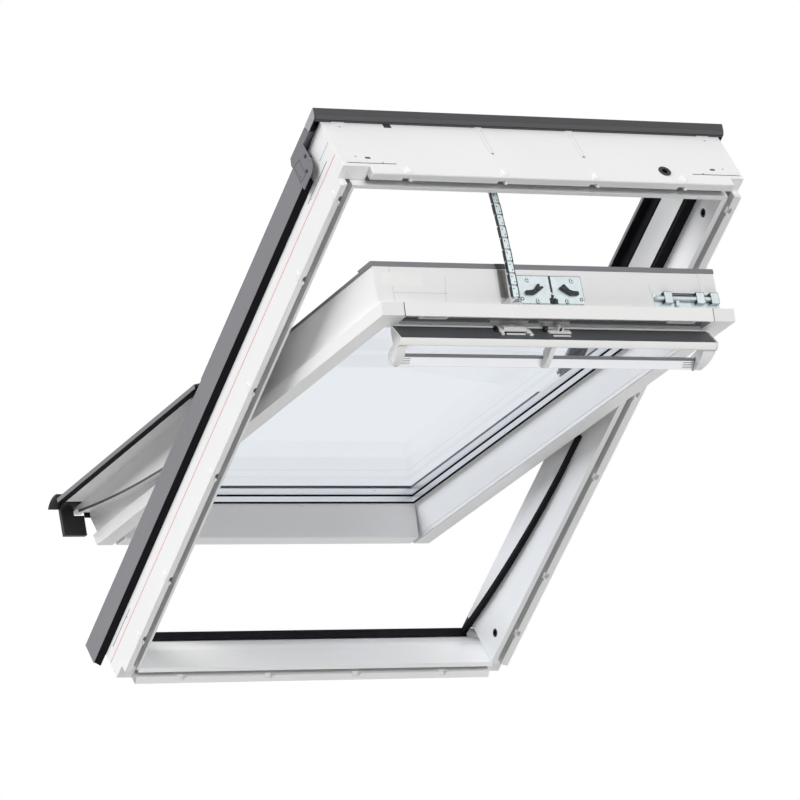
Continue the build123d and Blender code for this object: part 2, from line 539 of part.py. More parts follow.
# the chain spans from the drive's outlet to the bracket along a shallow arc
with BuildPart() as chain:
    with BuildSketch(Plane.YZ.offset(-95.2)) as run:
        with BuildLine() as path:
            upper = ThreePointArc((60, 1152.8), (-83, 1101.0), (-173.5, 1055.0))
            lower = ThreePointArc((-176.5, 1049.1), (-83, 1094.6), (59, 1146.3))
            Line(upper @ 1, lower @ 0)
            Line(lower @ 1, upper @ 0)
        make_face()
    extrude(run.sketch, amount=14.4)
finish(chain, "chain")

# ventilation filter and flap
with BuildPart() as filter_strip:
    brick(-294, 294, 41, 45.9, 1098, 1112)
finish(filter_strip, "vent_filter", on_sash=True)

with BuildPart() as grille:
    brick(-295, 295, 38.5, 40.5, 1091.6, 1114)
    for i in range(28):
        x = -286 + i * 20.6
        brick(x, x + 14, 38, 41, 1098, 1110, Mode.SUBTRACT)
finish(grille, "vent_strip", on_sash=True)

with BuildPart() as blind:
    for s in (-1, 1):
        brick(*sorted((s * 214, s * 268)), 29.5, 33.5, 1114, 1118)
        brick(*sorted((s * 262, s * 268)), 29.5, 45.9, 1114, 1126.9)
        brick(*sorted((s * 214, s * 220)), 29.5, 45.9, 1114, 1126.9)
finish(blind, "blind_brackets", on_sash=True)

# The flap's plate rises from its hinge line towards the room.
RISE = math.degrees(math.atan2(22.6, 29.7))
u = (-math.cos(math.radians(RISE)), math.sin(math.radians(RISE)))
n = (u[1], -u[0])


def on_flap(a, b):
    """A point a along the plate from its hinge line and b above its upper face."""
    return (FLAP_Y + a * u[0] + b * n[0], FLAP_Z + a * u[1] + b * n[1])


with BuildPart() as plate:
    across([on_flap(0.8, 0), on_flap(37.3, 0), on_flap(37.3, -2), on_flap(0.8, -2)], -304, 307.5)
finish(plate, "flap_plate", on_sash=True)

with BuildPart() as front:
    across([on_flap(37.4, 0.3), (-10.6, 1107.6), (-12.6, 1104.6), (-12.4, 1101.4), (-9.2, 1100.6), (-6.4, 1102.0),
            on_flap(37.4, -5), on_flap(28, -6), on_flap(28, -2.1), on_flap(37.4, -2.1)], -304, 309.5)
finish(front, "flap_front", on_sash=True)

with BuildPart() as bar:
    across([(-15.8, 1071.0), (-30.4, 1056.9), (-29.8, 1054.6), (-26.9, 1053.9), (-13.2, 1066.8), (-13.2, 1070.2)],
           -FLAP_BAR_HALF, FLAP_BAR_HALF)
finish(bar, "handle_bar", on_sash=True)

# fins at both ends carry the bar and close the flap's ends
FIN_ENDS = ((-304.1, -306.5), (309.6, 312.0))
with BuildPart() as brackets:
    for x_in, x_out in FIN_ENDS:
        s = 1 if x_out > 0 else -1
        with BuildSketch(Plane.YZ.offset(min(x_in, x_out))) as plate:
            with BuildLine():
                lower = ThreePointArc((16.7, 1080.6), (-3.2, 1073), (-8, 1055.6))
                foot = ThreePointArc((-8, 1055.6), (-22, 1050.4), (-32.6, 1060))
                front = ThreePointArc((-32.6, 1060), (-25.6, 1082), (-12.9, 1099))
                Polyline(front @ 1, (-13.2, 1104.8), (-10.8, 1108.2), (-2.4, 1112.4), (25.4, 1091.2), (25.6, 1087.6),
                         lower @ 0)
            make_face()
        extrude(plate.sketch, amount=abs(x_out - x_in))
        with BuildSketch(Plane.YZ.offset(min(s * 287.7, x_in + 0.1 * s))) as fin:
            with BuildLine():
                lower = ThreePointArc((-1.5, 1099.5), (-4.6, 1075), (-8, 1055.6))
                foot = ThreePointArc((-8, 1055.6), (-22, 1050.4), (-32.6, 1060))
                front = ThreePointArc((-32.6, 1060), (-25.6, 1082), (-13.2, 1098.4))
                Polyline(front @ 1, (-13.0, 1100.3), (-8, 1100.3), lower @ 0)
            make_face()
        extrude(fin.sketch, amount=abs(x_in + 0.1 * s - s * 287.7))
        # the fins narrow towards their feet
        outward([(s * 298, 1049), (x_out + s * 0.1, 1097), (s * 330, 1097), (s * 330, 1040), (s * 298, 1040)], -45, 30,
                Mode.SUBTRACT)
    across([(-12.8, 1100.5), (-22.3, 1087), (-30.3, 1073), (-33.4, 1062), (-31, 1057.7), (-15.9, 1071.3), (-13.1, 1070.4),
            (-8, 1073), (-4, 1081), (-2, 1100.5)], -12.5, -3.5)
finish(brackets, "bar_brackets", on_sash=True)

with BuildPart() as levers:
    # a sliding block and a T-shaped lever work the lock from the plate
    across([on_flap(4, 0.1), on_flap(4, 7), on_flap(16, 7), on_flap(16, 0.1)], -100, -56)
    across([on_flap(5, 0.1), on_flap(5, 4), on_flap(20, 4), on_flap(20, 0.1)], -106, -100)
    across([on_flap(5, 0.1), on_flap(5, 4), on_flap(20, 4), on_flap(20, 0.1)], -56, -48)
    across([on_flap(4, 0.1), on_flap(4, 9), on_flap(9, 9), on_flap(14, 3), on_flap(14, 0.1)], 5, 15)
    across([on_flap(9, 0.1), on_flap(9, 3), on_flap(16, 3), on_flap(16, 0.1)], -13, 31)
finish(levers, "flap_levers", on_sash=True)

print("clear opening", 2 * CLEAR_X, "x", CLEAR_TOP - CLEAR_BOT)
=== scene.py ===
import json
import math

import bmesh
import bpy
import numpy as np
from mathutils import Matrix, Vector

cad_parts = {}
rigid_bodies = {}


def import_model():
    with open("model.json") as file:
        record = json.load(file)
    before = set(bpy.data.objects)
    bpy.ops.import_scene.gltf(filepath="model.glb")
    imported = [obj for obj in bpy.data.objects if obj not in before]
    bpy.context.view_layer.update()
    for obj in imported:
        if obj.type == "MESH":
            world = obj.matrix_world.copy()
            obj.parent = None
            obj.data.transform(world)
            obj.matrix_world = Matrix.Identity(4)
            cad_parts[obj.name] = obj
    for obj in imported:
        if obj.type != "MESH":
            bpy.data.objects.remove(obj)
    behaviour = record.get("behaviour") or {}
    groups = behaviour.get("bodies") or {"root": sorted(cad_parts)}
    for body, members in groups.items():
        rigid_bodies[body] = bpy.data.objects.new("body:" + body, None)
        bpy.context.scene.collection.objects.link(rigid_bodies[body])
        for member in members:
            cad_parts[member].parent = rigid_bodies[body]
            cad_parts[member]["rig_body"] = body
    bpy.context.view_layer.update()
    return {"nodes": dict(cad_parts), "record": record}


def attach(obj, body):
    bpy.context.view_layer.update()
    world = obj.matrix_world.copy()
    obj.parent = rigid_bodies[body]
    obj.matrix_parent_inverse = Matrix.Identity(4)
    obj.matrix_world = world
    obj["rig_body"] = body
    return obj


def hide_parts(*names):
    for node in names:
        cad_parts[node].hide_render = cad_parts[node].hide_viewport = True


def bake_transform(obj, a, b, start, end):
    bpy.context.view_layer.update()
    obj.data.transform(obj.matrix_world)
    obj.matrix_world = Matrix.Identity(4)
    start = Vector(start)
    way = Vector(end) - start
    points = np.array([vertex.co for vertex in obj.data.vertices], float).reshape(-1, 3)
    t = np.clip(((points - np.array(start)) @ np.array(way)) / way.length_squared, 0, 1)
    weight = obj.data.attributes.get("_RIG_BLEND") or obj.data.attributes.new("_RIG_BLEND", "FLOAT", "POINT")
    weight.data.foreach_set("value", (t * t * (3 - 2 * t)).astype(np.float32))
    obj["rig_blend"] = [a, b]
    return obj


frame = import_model()
nodes = frame["nodes"]
scene = bpy.context.scene
mm = 0.001
print("stage: frame loaded,", len(nodes), "nodes")


def added(name, data):
    # a new object in the scene
    thing = bpy.data.objects.new(name, data)
    scene.collection.objects.link(thing)
    return thing


# camera, at the photograph's angle
shot = {"place": (-4.790, -6.041, 6.152), "right": (0.86609478, -0.36336655, 0.34328499),
        "up": (-0.00844006, 0.67600736, 0.73684653), "forward": (0.49980856, 0.64107628, -0.58241961),
        "lens": 248.2, "sensor": 36.0}


def placeCamera():
    data = bpy.data.cameras.new("shotCamera")
    data.lens, data.sensor_width = shot["lens"], shot["sensor"]
    camera = added("shotCamera", data)
    columns = [Vector(shot["right"]), Vector(shot["up"]), -Vector(shot["forward"])]
    camera.matrix_world = Matrix.Translation(Vector(shot["place"])) @ Matrix(columns).transposed().to_4x4()
    scene.camera = camera


def emptyTree(owner):
    # the node tree of a material or a world, cleared
    owner.use_nodes = True
    owner.node_tree.nodes.clear()
    return owner.node_tree


def linear(code):
    # sRGB hex to linear light
    raw = np.array([int(code[i:i + 2], 16) for i in (1, 3, 5)]) / 255
    flat = np.where(raw <= 0.04045, raw / 12.92, ((raw + 0.055) / 1.055) ** 2.4)
    return (*flat.tolist(), 1.0)


def addNode(tree, kind, settings=None, links=None):
    # one shader node, its settings by attribute or socket name, and what feeds its sockets
    node = tree.nodes.new("ShaderNode" + kind)
    for key, value in (settings or {}).items():
        if isinstance(key, str) and hasattr(node, key):
            setattr(node, key, value)
        else:
            node.inputs[key].default_value = value
    for key, source in (links or {}).items():
        tree.links.new(source, node.inputs[key])
    return node


# studio light: a dim room, a large lamp from the left, one from above and a weak one from the front
light = {"room": 0.05,
         "lamps": {"sideLamp": (3.1, 0.7, (0.68, -0.66, -0.3)), "topLamp": (1.8, 0.6, (0.0, 0.27, -0.96)),
                   "frontLamp": (0.8, 0.6, (0.0, 0.98, -0.15))}}
floorShape = {"half": 9.0, "z": -0.6, "colour": "#c6c6c6"}


def directlySeen(tree):
    # one where the camera, gloss or glass looks, nought for the light that falls on things
    path = addNode(tree, "LightPath")
    seen = addNode(tree, "Math", {"operation": "MAXIMUM"},
                   {0: path.outputs["Is Camera Ray"], 1: path.outputs["Is Glossy Ray"]})
    return addNode(tree, "Math", {"operation": "MAXIMUM"},
                   {0: seen.outputs[0], 1: path.outputs["Is Transmission Ray"]})


def setLight():
    world = bpy.data.worlds.new("paleRoom")
    scene.world = world
    tree = emptyTree(world)
    strength = addNode(tree, "MapRange", {"To Min": light["room"], "To Max": 1.0},
                       {"Value": directlySeen(tree).outputs[0]})
    glow = addNode(tree, "Background", {"Color": linear("#ffffff")}, {"Strength": strength.outputs[0]})
    addNode(tree, "OutputWorld", links={"Surface": glow.outputs[0]})
    for name, (power, softness, aim) in light["lamps"].items():
        data = bpy.data.lights.new(name, "SUN")
        data.energy, data.angle = power, softness
        lamp = added(name, data)
        lamp.rotation_mode = "QUATERNION"
        lamp.rotation_quaternion = Vector(aim).to_track_quat("-Z", "Y")
    scene.view_settings.view_transform = "Standard"


def addFloor():
    # pale floor below the part, white where it's seen directly
    half, z = floorShape["half"], floorShape["z"]
    mesh = bpy.data.meshes.new("paleFloor")
    corners = [(-half, -half, z), (half, -half, z), (half, half, z), (-half, half, z)]
    mesh.from_pydata(corners, [], [(0, 1, 2, 3)])
    coat = bpy.data.materials.new("paleFloorPaint")
    tree = emptyTree(coat)
    matt = addNode(tree, "BsdfDiffuse", {"Color": linear(floorShape["colour"])})
    glow = addNode(tree, "Emission", {"Color": linear("#ffffff"), "Strength": 1.0})
    mix = addNode(tree, "MixShader",
                  links={0: directlySeen(tree).outputs[0], 1: matt.outputs[0], 2: glow.outputs[0]})
    addNode(tree, "OutputMaterial", links={"Surface": mix.outputs[0]})
    mesh.materials.append(coat)
    floor = added("paleFloor", mesh)


placeCamera()
setLight()
addFloor()
print("stage: camera, light and floor")

# what every surface shares: clear coat, size of the gloss patches in mm, contrast of the tint, bump strength
shared = {"coatRoughness": 0.12, "glossSize": 18, "tintFrom": 0.35, "tintTo": 0.75, "bump": 0.6}


def surface(name, colour, roughness, metallic=0.0, coat=0.0, grain=None, tint=None, gloss=None, specular=0.5):
    # grain = (size in mm, depth in mm), tint = (second colour, size in mm, amount), gloss = roughness swing
    made = bpy.data.materials.new(name)
    made.use_nodes = True
    tree = made.node_tree
    shader = tree.nodes["Principled BSDF"]
    look = {"Base Color": linear(colour), "Roughness": roughness, "Metallic": metallic,
            "Specular IOR Level": specular}
    if coat:
        look.update({"Coat Weight": coat, "Coat Roughness": shared["coatRoughness"]})
    for key, value in look.items():
        shader.inputs[key].default_value = value
    place = addNode(tree, "TexCoord")

    def patches(size, detail):
        return addNode(tree, "TexNoise", {"Scale": 1000 / size, "Detail": detail},
                       {"Vector": place.outputs["Object"]})

    if tint:
        second, size, amount = tint
        mix = addNode(tree, "Mix", {"data_type": "RGBA"})
        mix.inputs[6].default_value, mix.inputs[7].default_value = linear(colour), linear(second)
        reach = addNode(tree, "MapRange",
                        {"From Min": shared["tintFrom"], "From Max": shared["tintTo"], "To Max": amount},
                        {"Value": patches(size, 3.0).outputs[0]})
        tree.links.new(reach.outputs[0], mix.inputs[0])
        tree.links.new(mix.outputs[2], shader.inputs["Base Color"])
    if gloss:
        swing = addNode(tree, "MapRange", {"To Min": roughness - gloss, "To Max": roughness + gloss},
                        {"Value": patches(shared["glossSize"], 4.0).outputs[0]})
        tree.links.new(swing.outputs[0], shader.inputs["Roughness"])
    if grain:
        bump = addNode(tree, "Bump", {"Distance": grain[1] * mm, "Strength": shared["bump"]},
                       {"Height": patches(grain[0], 3.0).outputs[0]})
        tree.links.new(bump.outputs[0], shader.inputs["Normal"])
    return made


# white lacquer on a foamed polyurethane moulding: smooth, satin, a faint orange peel
whiteLacquer = surface("whiteLacquer", "#f5f5f5", 0.38, coat=0.15, grain=(1.6, 0.02), tint=("#efefef", 140, 0.5),
                       gloss=0.05)
# acrylic-capped plastic, moulded, a little glossier than the lacquer
whitePlastic = surface("whitePlastic", "#f4f4f3", 0.28, grain=(0.9, 0.01), gloss=0.04)
# acetal and nylon fittings in grey, fine moulded texture
greyNylon = surface("greyNylon", "#8f9092", 0.48, grain=(0.6, 0.03), tint=("#848587", 20, 0.5))
# dark glass-filled nylon, matt with a fine grit, also used as painted shade in the bolt's slots and under the
# levers
darkNylon = surface("darkNylon", "#141416", 0.55, grain=(0.5, 0.04), tint=("#1c1c1f", 15, 0.6))
# extruded EPDM rubber: nearly black, matt, faint lengthwise bloom
blackRubber = surface("blackRubber", "#0b0a0f", 0.7, specular=0.12, grain=(0.4, 0.03), tint=("#17161b", 30, 0.5))
# polyester-lacquered aluminium sheet in mid grey: satin with a fine leather grain
greySheet = surface("greySheet", "#77767b", 0.42, coat=0.1, grain=(0.7, 0.02), tint=("#7f7e84", 160, 0.6),
                    gloss=0.06)
# the same sheet lacquered nearly black
darkSheet = surface("darkSheet", "#2b2b2e", 0.42, coat=0.1, grain=(0.7, 0.02), tint=("#323235", 120, 0.5),
                    gloss=0.06)
# drawn aluminium with a clear anodic layer
anodisedAluminium = surface("anodisedAluminium", "#e3e4e7", 0.3, metallic=0.85, grain=(0.5, 0.01), gloss=0.06)
# bright zinc on pressed steel, cool and slightly mottled
zincSteel = surface("zincSteel", "#d0d9db", 0.34, metallic=0.75, grain=(1.2, 0.02), tint=("#bac5c9", 9, 0.7),
                    gloss=0.1)
# burnished steel, darker than the zinc, also used as painted shade at the edges of the bolt's keeps
darkSteel = surface("darkSteel", "#3a3f42", 0.34, metallic=0.8, grain=(0.8, 0.02), gloss=0.08)
# open-cell filter foam
filterFoam = surface("filterFoam", "#77787b", 0.9, grain=(1.4, 0.5), tint=("#4c4d50", 3, 0.8))
# green solder mask on glass-fibre board
boardLaminate = surface("boardLaminate", "#1d5a34", 0.4, grain=(0.6, 0.02), tint=("#2a6b42", 5, 0.6))


# ripple = (size in mm, depth in mm, strength); clear lets light through, mirror reflects it
glassLook = {"ripple": (220, 0.02, 0.3), "clear": (0.945, 0.955, 0.968, 1.0), "mirror": (0.93, 0.95, 0.97, 1.0),
             "roughness": 0.02, "ior": 1.15}


def windowGlass():
    # coated float glass: lets light through with a faint blue at each surface, and mirrors at a slant
    glass = bpy.data.materials.new("floatGlass")
    tree = emptyTree(glass)
    size, depth, strength = glassLook["ripple"]
    place = addNode(tree, "TexCoord")
    ripple = addNode(tree, "TexNoise", {"Scale": 1000 / size, "Detail": 1.0},
                     {"Vector": place.outputs["Object"]})
    wave = addNode(tree, "Bump", {"Distance": depth * mm, "Strength": strength},
                   {"Height": ripple.outputs[0]})
    clear = addNode(tree, "BsdfTransparent", {"Color": glassLook["clear"]})
    mirror = addNode(tree, "BsdfGlossy",
                     {"Color": glassLook["mirror"], "Roughness": glassLook["roughness"]},
                     {"Normal": wave.outputs[0]})
    slant = addNode(tree, "Fresnel", {"IOR": glassLook["ior"]}, {"Normal": wave.outputs[0]})
    # only the outer side of each surface mirrors
    side = addNode(tree, "NewGeometry")
    outer = addNode(tree, "Math", {"operation": "SUBTRACT", 0: 1.0}, {1: side.outputs["Backfacing"]})
    share = addNode(tree, "Math", {"operation": "MULTIPLY"}, {0: slant.outputs[0], 1: outer.outputs[0]})
    mix = addNode(tree, "MixShader",
                  links={0: share.outputs[0], 1: clear.outputs[0], 2: mirror.outputs[0]})
    addNode(tree, "OutputMaterial", links={"Surface": mix.outputs[0]})
    return glass


floatGlass = windowGlass()
print("stage: materials")

finishes = {
    "white_body": whiteLacquer, "white_plastic": whitePlastic, "grey_plastic": greyNylon,
    "dark_plastic": darkNylon, "black_seal": blackRubber, "grey_cladding": greySheet,
    "dark_cladding": darkSheet, "bare_aluminium": anodisedAluminium, "zinc_steel": zincSteel,
    "dark_steel": darkSteel, "glass_pane": floatGlass, "filter_foam": filterFoam, "board": boardLaminate}
slots = {part["node"]: part["material_slot"] for part in frame["record"]["subparts"]}
for name, node in nodes.items():
    node.data.materials.clear()
    node.data.materials.append(finishes[slots[name]])
print("stage: finishes on the nodes")

# where the open sash stands: its pieces are drawn closed, in mm, and turned about the pivot
pivot = {"y": 125.7, "z": 589.0, "open": math.radians(26.2)}
sashBodies = ("sash", "flap", "claw_left", "claw_right", "bolt")


def placed(points, body):
    # mm to metres; a sash point turns about the pivot by the opening angle
    points = np.array(points, float)
    if body in sashBodies:
        dy, dz = points[:, 1] - pivot["y"], points[:, 2] - pivot["z"]
        turnC, turnS = math.cos(pivot["open"]), math.sin(pivot["open"])
        points[:, 1], points[:, 2] = pivot["y"] + dy * turnC - dz * turnS, pivot["z"] + dy * turnS + dz * turnC
    return points * mm


def ringFaces(rows, columns, closed=True):
    # quads of a grid whose rows are closed loops; the rows' ends are capped where they don't join
    i, j = np.meshgrid(np.arange(rows - (0 if closed else 1)), np.arange(columns), indexing="ij")
    k, after = (i + 1) % rows, (j + 1) % columns
    corners = [i * columns + j, i * columns + after, k * columns + after, k * columns + j]
    faces = np.stack(corners, -1).reshape(-1, 4).tolist()
    if not closed:
        faces += [list(range(columns))[::-1], list(range((rows - 1) * columns, rows * columns))]
    return faces


def prism(outline, axis, start, end):
    # a flat outline carried straight along an axis: point = outline point, with the axis from start to end
    flat = np.array(outline, float)
    order = {"x": (2, 0, 1), "y": (0, 2, 1), "z": (0, 1, 2)}[axis]
    both = np.concatenate([np.column_stack([flat, np.full(len(flat), float(v))]) for v in (start, end)])
    return both[:, list(order)], ringFaces(2, len(flat), closed=False)


def brick(x0, x1, y0, y1, z0, z1):
    return prism([(x0, y0), (x1, y0), (x1, y1), (x0, y1)], "z", z0, z1)


def span(side, near, far):
    # two distances from the middle as a rising pair on the left (-1) or the right (1)
    return sorted((side * near, side * far))


def turned(profile, centre, axis, steps=20):
    # a (radius, height) profile turned about an axis: point = centre + r cos t * a + r sin t * b + h * axis
    profile, axis = np.array(profile, float), np.array(axis, float)
    axis = axis / np.linalg.norm(axis)
    a = np.cross(axis, (0.0, 0.0, 1.0) if abs(axis[2]) < 0.9 else (1.0, 0.0, 0.0))
    a = a / np.linalg.norm(a)
    b = np.cross(axis, a)
    t = np.arange(steps) * 2 * np.pi / steps
    r, h = profile[:, 0][:, None, None], profile[:, 1][:, None, None]
    circle = np.cos(t)[None, :, None] * a + np.sin(t)[None, :, None] * b
    points = np.array(centre, float) + r * circle + h * axis
    return points.reshape(-1, 3), ringFaces(len(profile), steps, closed=False)


def hoop(profile, centre, axis, steps=24):
    # a turned profile that closes on itself, as a washer or a ring does
    points, _ = turned(profile, centre, axis, steps)
    return points, ringFaces(len(profile), steps)


def arc(centre, radius, start, end, steps):
    t = np.radians(np.linspace(start, end, steps))
    return np.column_stack([centre[0] + radius * np.cos(t), centre[1] + radius * np.sin(t)]).tolist()


def stadium(p, q, half, steps=5):
    # outline of a slot from p to q, round at both ends
    p, q = np.array(p, float), np.array(q, float)
    lean = math.degrees(math.atan2(*(q - p)[::-1]))
    return arc(q, half, lean - 90, lean + 90, steps) + arc(p, half, lean + 90, lean + 270, steps)


def bow(first, middle, last, steps=24):
    # an arc through three points, by a quadratic in the share of the way
    p, m, q = (np.array(point, float) for point in (first, middle, last))
    k = np.linalg.norm(m - p) / (np.linalg.norm(m - p) + np.linalg.norm(q - m))
    t = np.linspace(0, 1, steps)[:, None]
    bend = (m - (1 - k) ** 2 * p - k ** 2 * q) / (2 * k * (1 - k))
    return (1 - t) ** 2 * p + 2 * t * (1 - t) * bend + t ** 2 * q


# merging distances in metres; angles in degrees: flat melts below it, bevel and sharp act above it
meshing = {"merge": 1e-6, "nodeMerge": 2e-6, "flat": 0.6, "bevel": 30, "sharp": 35, "segments": 2}


def cleaned(mesh, merge, flat=None):
    # joins doubled points, optionally melts flat regions, turns normals outward and shades smooth
    work = bmesh.new()
    work.from_mesh(mesh)
    bmesh.ops.remove_doubles(work, verts=work.verts, dist=merge)
    if flat:
        bmesh.ops.dissolve_limit(work, angle_limit=math.radians(flat), verts=work.verts, edges=work.edges)
    bmesh.ops.recalc_face_normals(work, faces=work.faces)
    work.to_mesh(mesh)
    work.free()
    mesh.polygons.foreach_set("use_smooth", np.ones(len(mesh.polygons), bool))


def soften(thing, width):
    # rounds the edges sharper than the bevel angle and keeps the flats flat
    edge = thing.modifiers.new("softEdge", "BEVEL")
    edge.width, edge.segments, edge.limit_method = width * mm, meshing["segments"], "ANGLE"
    edge.angle_limit, edge.harden_normals, edge.use_clamp_overlap = math.radians(meshing["bevel"]), True, True


def piece(name, parts, finish, body, edge=0.25, replaced=()):
    # one object of several closed surfaces, drawn in mm; edge = rounding in mm, body = what it rides on
    points, faces, count = [], [], 0
    for more, sides in parts:
        points.append(placed(more, body))
        faces += [[count + corner for corner in side] for side in sides]
        count += len(more)
    mesh = bpy.data.meshes.new(name)
    mesh.from_pydata(np.concatenate(points).tolist(), [], faces)
    cleaned(mesh, meshing["merge"])
    mesh.materials.append(finish)
    thing = added(name, mesh)
    if edge:
        soften(thing, edge)
    else:
        mesh.set_sharp_from_angle(angle=math.radians(meshing["sharp"]))
    if replaced:
        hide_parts(*replaced)
    if body:
        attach(thing, body)
    return thing


# edge rounding of each built part, in mm
softEdges = {
    "frame_left": 0.7, "frame_right": 0.7, "frame_top": 0.7, "frame_bottom": 0.7, "corner_blocks": 0.5,
    "sash_left": 0.8, "sash_right": 0.8, "sash_top": 0.8, "sash_bottom": 0.8,
    "side_claddings": 0.3, "upper_claddings": 0.3, "hood": 0.3, "hood_caps": 0.4, "hood_screws": 0.3,
    "flashing_seals": 0.5, "bolt_bushes": 0.4, "cable_grommet": 0.4,
    "sash_cladding_left": 0.3, "sash_cladding_right": 0.3, "sash_cladding_top": 0.3, "sash_cladding_bottom": 0.3,
    "sash_side_seals": 0.5, "bottom_skirt": 0.5, "skirt_ends": 0.6, "glazing_bead": 0.3, "glazing_gasket": 0.2,
    "handle_bar": 0.7, "bar_brackets": 0.7, "flap_front": 0.6, "flap_plate": 0.3, "flap_levers": 0.4,
    "lock_plate": 0.3, "lock_case": 0.2, "lock_screws": 0.3, "lock_claw_left": 0.5, "lock_claw_right": 0.5,
    "bolt_base": 0.3, "barrel_bolt": 0.5, "chain_bracket": 0.3, "blind_brackets": 0.3, "vent_strip": 0.3,
    "vent_filter": 0.4, "pane_spacer": 0.2, "frame_hinges": 0.3, "sash_hinges": 0.3, "hinge_pins": 0.4,
    "lock_keeper": 0.4, "drive_case": 0.3, "drive_cover": 0.3}
# the frame's lips stand a hair off its body: their inner faces lie from 1.97 to 1.99 mm and are pushed in
lips = {"on": ("frame_left", "frame_right", "frame_top", "frame_bottom"), "from": 1.970, "to": 1.990,
        "into": 2.4}


def islands(work):
    # groups of vertices that hang together
    left, found = set(work.verts), []
    while left:
        group, edgeOn = set(), [left.pop()]
        while edgeOn:
            vertex = edgeOn.pop()
            group.add(vertex)
            near = [e.other_vert(vertex) for e in vertex.link_edges]
            edgeOn += [v for v in near if v in left]
            left.difference_update(near)
        found.append(group)
    return found


def joinedLips(mesh, name):
    # pushes the lips into the body and makes one solid of them
    work = bmesh.new()
    work.from_mesh(mesh)
    bmesh.ops.remove_doubles(work, verts=work.verts, dist=meshing["nodeMerge"])
    main = max(sorted(islands(work), key=len), key=lambda group: max(v.co.y for v in group))
    for vertex in work.verts:
        if vertex not in main and lips["from"] < vertex.co.y / mm < lips["to"]:
            vertex.co.y = lips["into"] * mm
    halves = []
    for keep, label in ((True, "Body"), (False, "Lips")):
        part = work.copy()
        inMain = {v.index for v in main}
        part.verts.ensure_lookup_table()
        bmesh.ops.delete(part, geom=[v for v in part.verts if (v.index in inMain) != keep], context="VERTS")
        half = bpy.data.meshes.new(name + label)
        part.to_mesh(half)
        part.free()
        halves.append(added(name + label, half))
    work.free()
    union = halves[0].modifiers.new("join", "BOOLEAN")
    union.operation, union.solver, union.object = "UNION", "EXACT", halves[1]
    bpy.context.view_layer.update()
    whole = bpy.data.meshes.new_from_object(halves[0].evaluated_get(bpy.context.evaluated_depsgraph_get()))
    for half in halves:
        bpy.data.objects.remove(half)
    return whole


# finishes of built parts that don't wear their slot's own
# cap sheet, lighter than the hood
capSheet = surface("capSheet", "#6d6c72", 0.42, coat=0.1, grain=(0.7, 0.02), tint=("#75747a", 120, 0.5),
                   gloss=0.06)
# lacquered steel plate of the flap
plateSheet = surface("plateSheet", "#55575a", 0.45, grain=(0.6, 0.02), tint=("#5f6164", 60, 0.5))
# black oxide on the claws
blackenedSteel = surface("blackenedSteel", "#1b1d20", 0.42, metallic=0.3, grain=(0.6, 0.02), gloss=0.08)
# glossy white acrylic of the flap and its levers
whiteCap = surface("whiteCap", "#fcfcfb", 0.24, coat=0.3, grain=(0.9, 0.01), gloss=0.03)
# pale cast fitting
paleFitting = surface("paleFitting", "#e2e3e4", 0.4, grain=(0.6, 0.02), tint=("#d2d3d4", 8, 0.6))
softFinish = {"hood_caps": capSheet, "hood_screws": darkSteel, "flap_plate": plateSheet, "flap_front": whiteCap,
              "lock_claw_left": blackenedSteel, "lock_claw_right": blackenedSteel, "chain_bracket": paleFitting,
              "flap_levers": whiteCap, "sash_cladding_bottom": darkSheet}


def softCopy(name, width):
    # a copy of a built part with rounded edges, in its place
    node = nodes[name]
    title = "soft" + "".join(word.capitalize() for word in name.split("_"))
    mesh = joinedLips(node.data, title) if name in lips["on"] else node.data.copy()
    mesh.name = title
    for attribute in [a for a in mesh.attributes if a.name in ("custom_normal", "sharp_face", "sharp_edge")]:
        mesh.attributes.remove(attribute)
    cleaned(mesh, meshing["nodeMerge"], meshing["flat"])
    mesh.materials.clear()
    mesh.materials.append(softFinish.get(name, finishes[slots[name]]))
    copy = added(title, mesh)
    soften(copy, width)
    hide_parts(name)
    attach(copy, node["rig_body"])


for name, width in softEdges.items():
    softCopy(name, width)
print("stage: rounded copies,", len(softEdges))

# finishes of the small marks: printed lines, painted shade in gaps, painted highlights on folded edges,
# moulded whites, label, painted shade in the lining groove, the bar's dark strip
paintedLine = surface("paintedLine", "#e58f96", 0.5, grain=(0.8, 0.01), tint=("#dd858d", 12, 0.5))
blueLine = surface("blueLine", "#8f8fc4", 0.5, grain=(0.8, 0.01), tint=("#8585ba", 12, 0.5))
slotShade = surface("slotShade", "#5b5a5c", 0.6, grain=(0.6, 0.02), tint=("#49484b", 8, 0.5))
# painted shade where the chain's recess lies in the sash's top face
recessShade = surface("recessShade", "#8d8c8a", 0.6, grain=(1.0, 0.02), tint=("#9c9b99", 14, 0.6))
# painted highlight: a light grey that stands for the sheen on the hood's folded ends
hoodEdge = surface("hoodEdge", "#a3a3a6", 0.4, coat=0.1, grain=(0.7, 0.02), tint=("#98989b", 60, 0.5))
# painted light: the hood's dark sheet made lighter along its front band, as if lit
bandSheet = surface("bandSheet", "#424246", 0.42, coat=0.1, grain=(0.7, 0.02), tint=("#4a4a4e", 120, 0.5),
                    gloss=0.06)
paleLip = surface("paleLip", "#d4d3d2", 0.45, grain=(1.2, 0.02), tint=("#cbcac9", 60, 0.5))
brightWhite = surface("brightWhite", "#fbfbfa", 0.22, coat=0.3, grain=(0.9, 0.01), gloss=0.03)
paperLabel = surface("paperLabel", "#f7f7f6", 0.6, grain=(0.5, 0.01), tint=("#f1f1f0", 15, 0.5))
# painted shade in the lining groove: a grey that stands for the shade on its floor
foamTape = surface("foamTape", "#6e6e6e", 0.8, grain=(1.0, 0.2), tint=("#5e5e5e", 6, 0.6))
barShade = surface("barShade", "#75797c", 0.35, metallic=0.4, grain=(0.6, 0.02), gloss=0.05)

# from here on all lengths are in mm, and the settings of each piece hold its outlines and places
bothSides = (-1, 1)

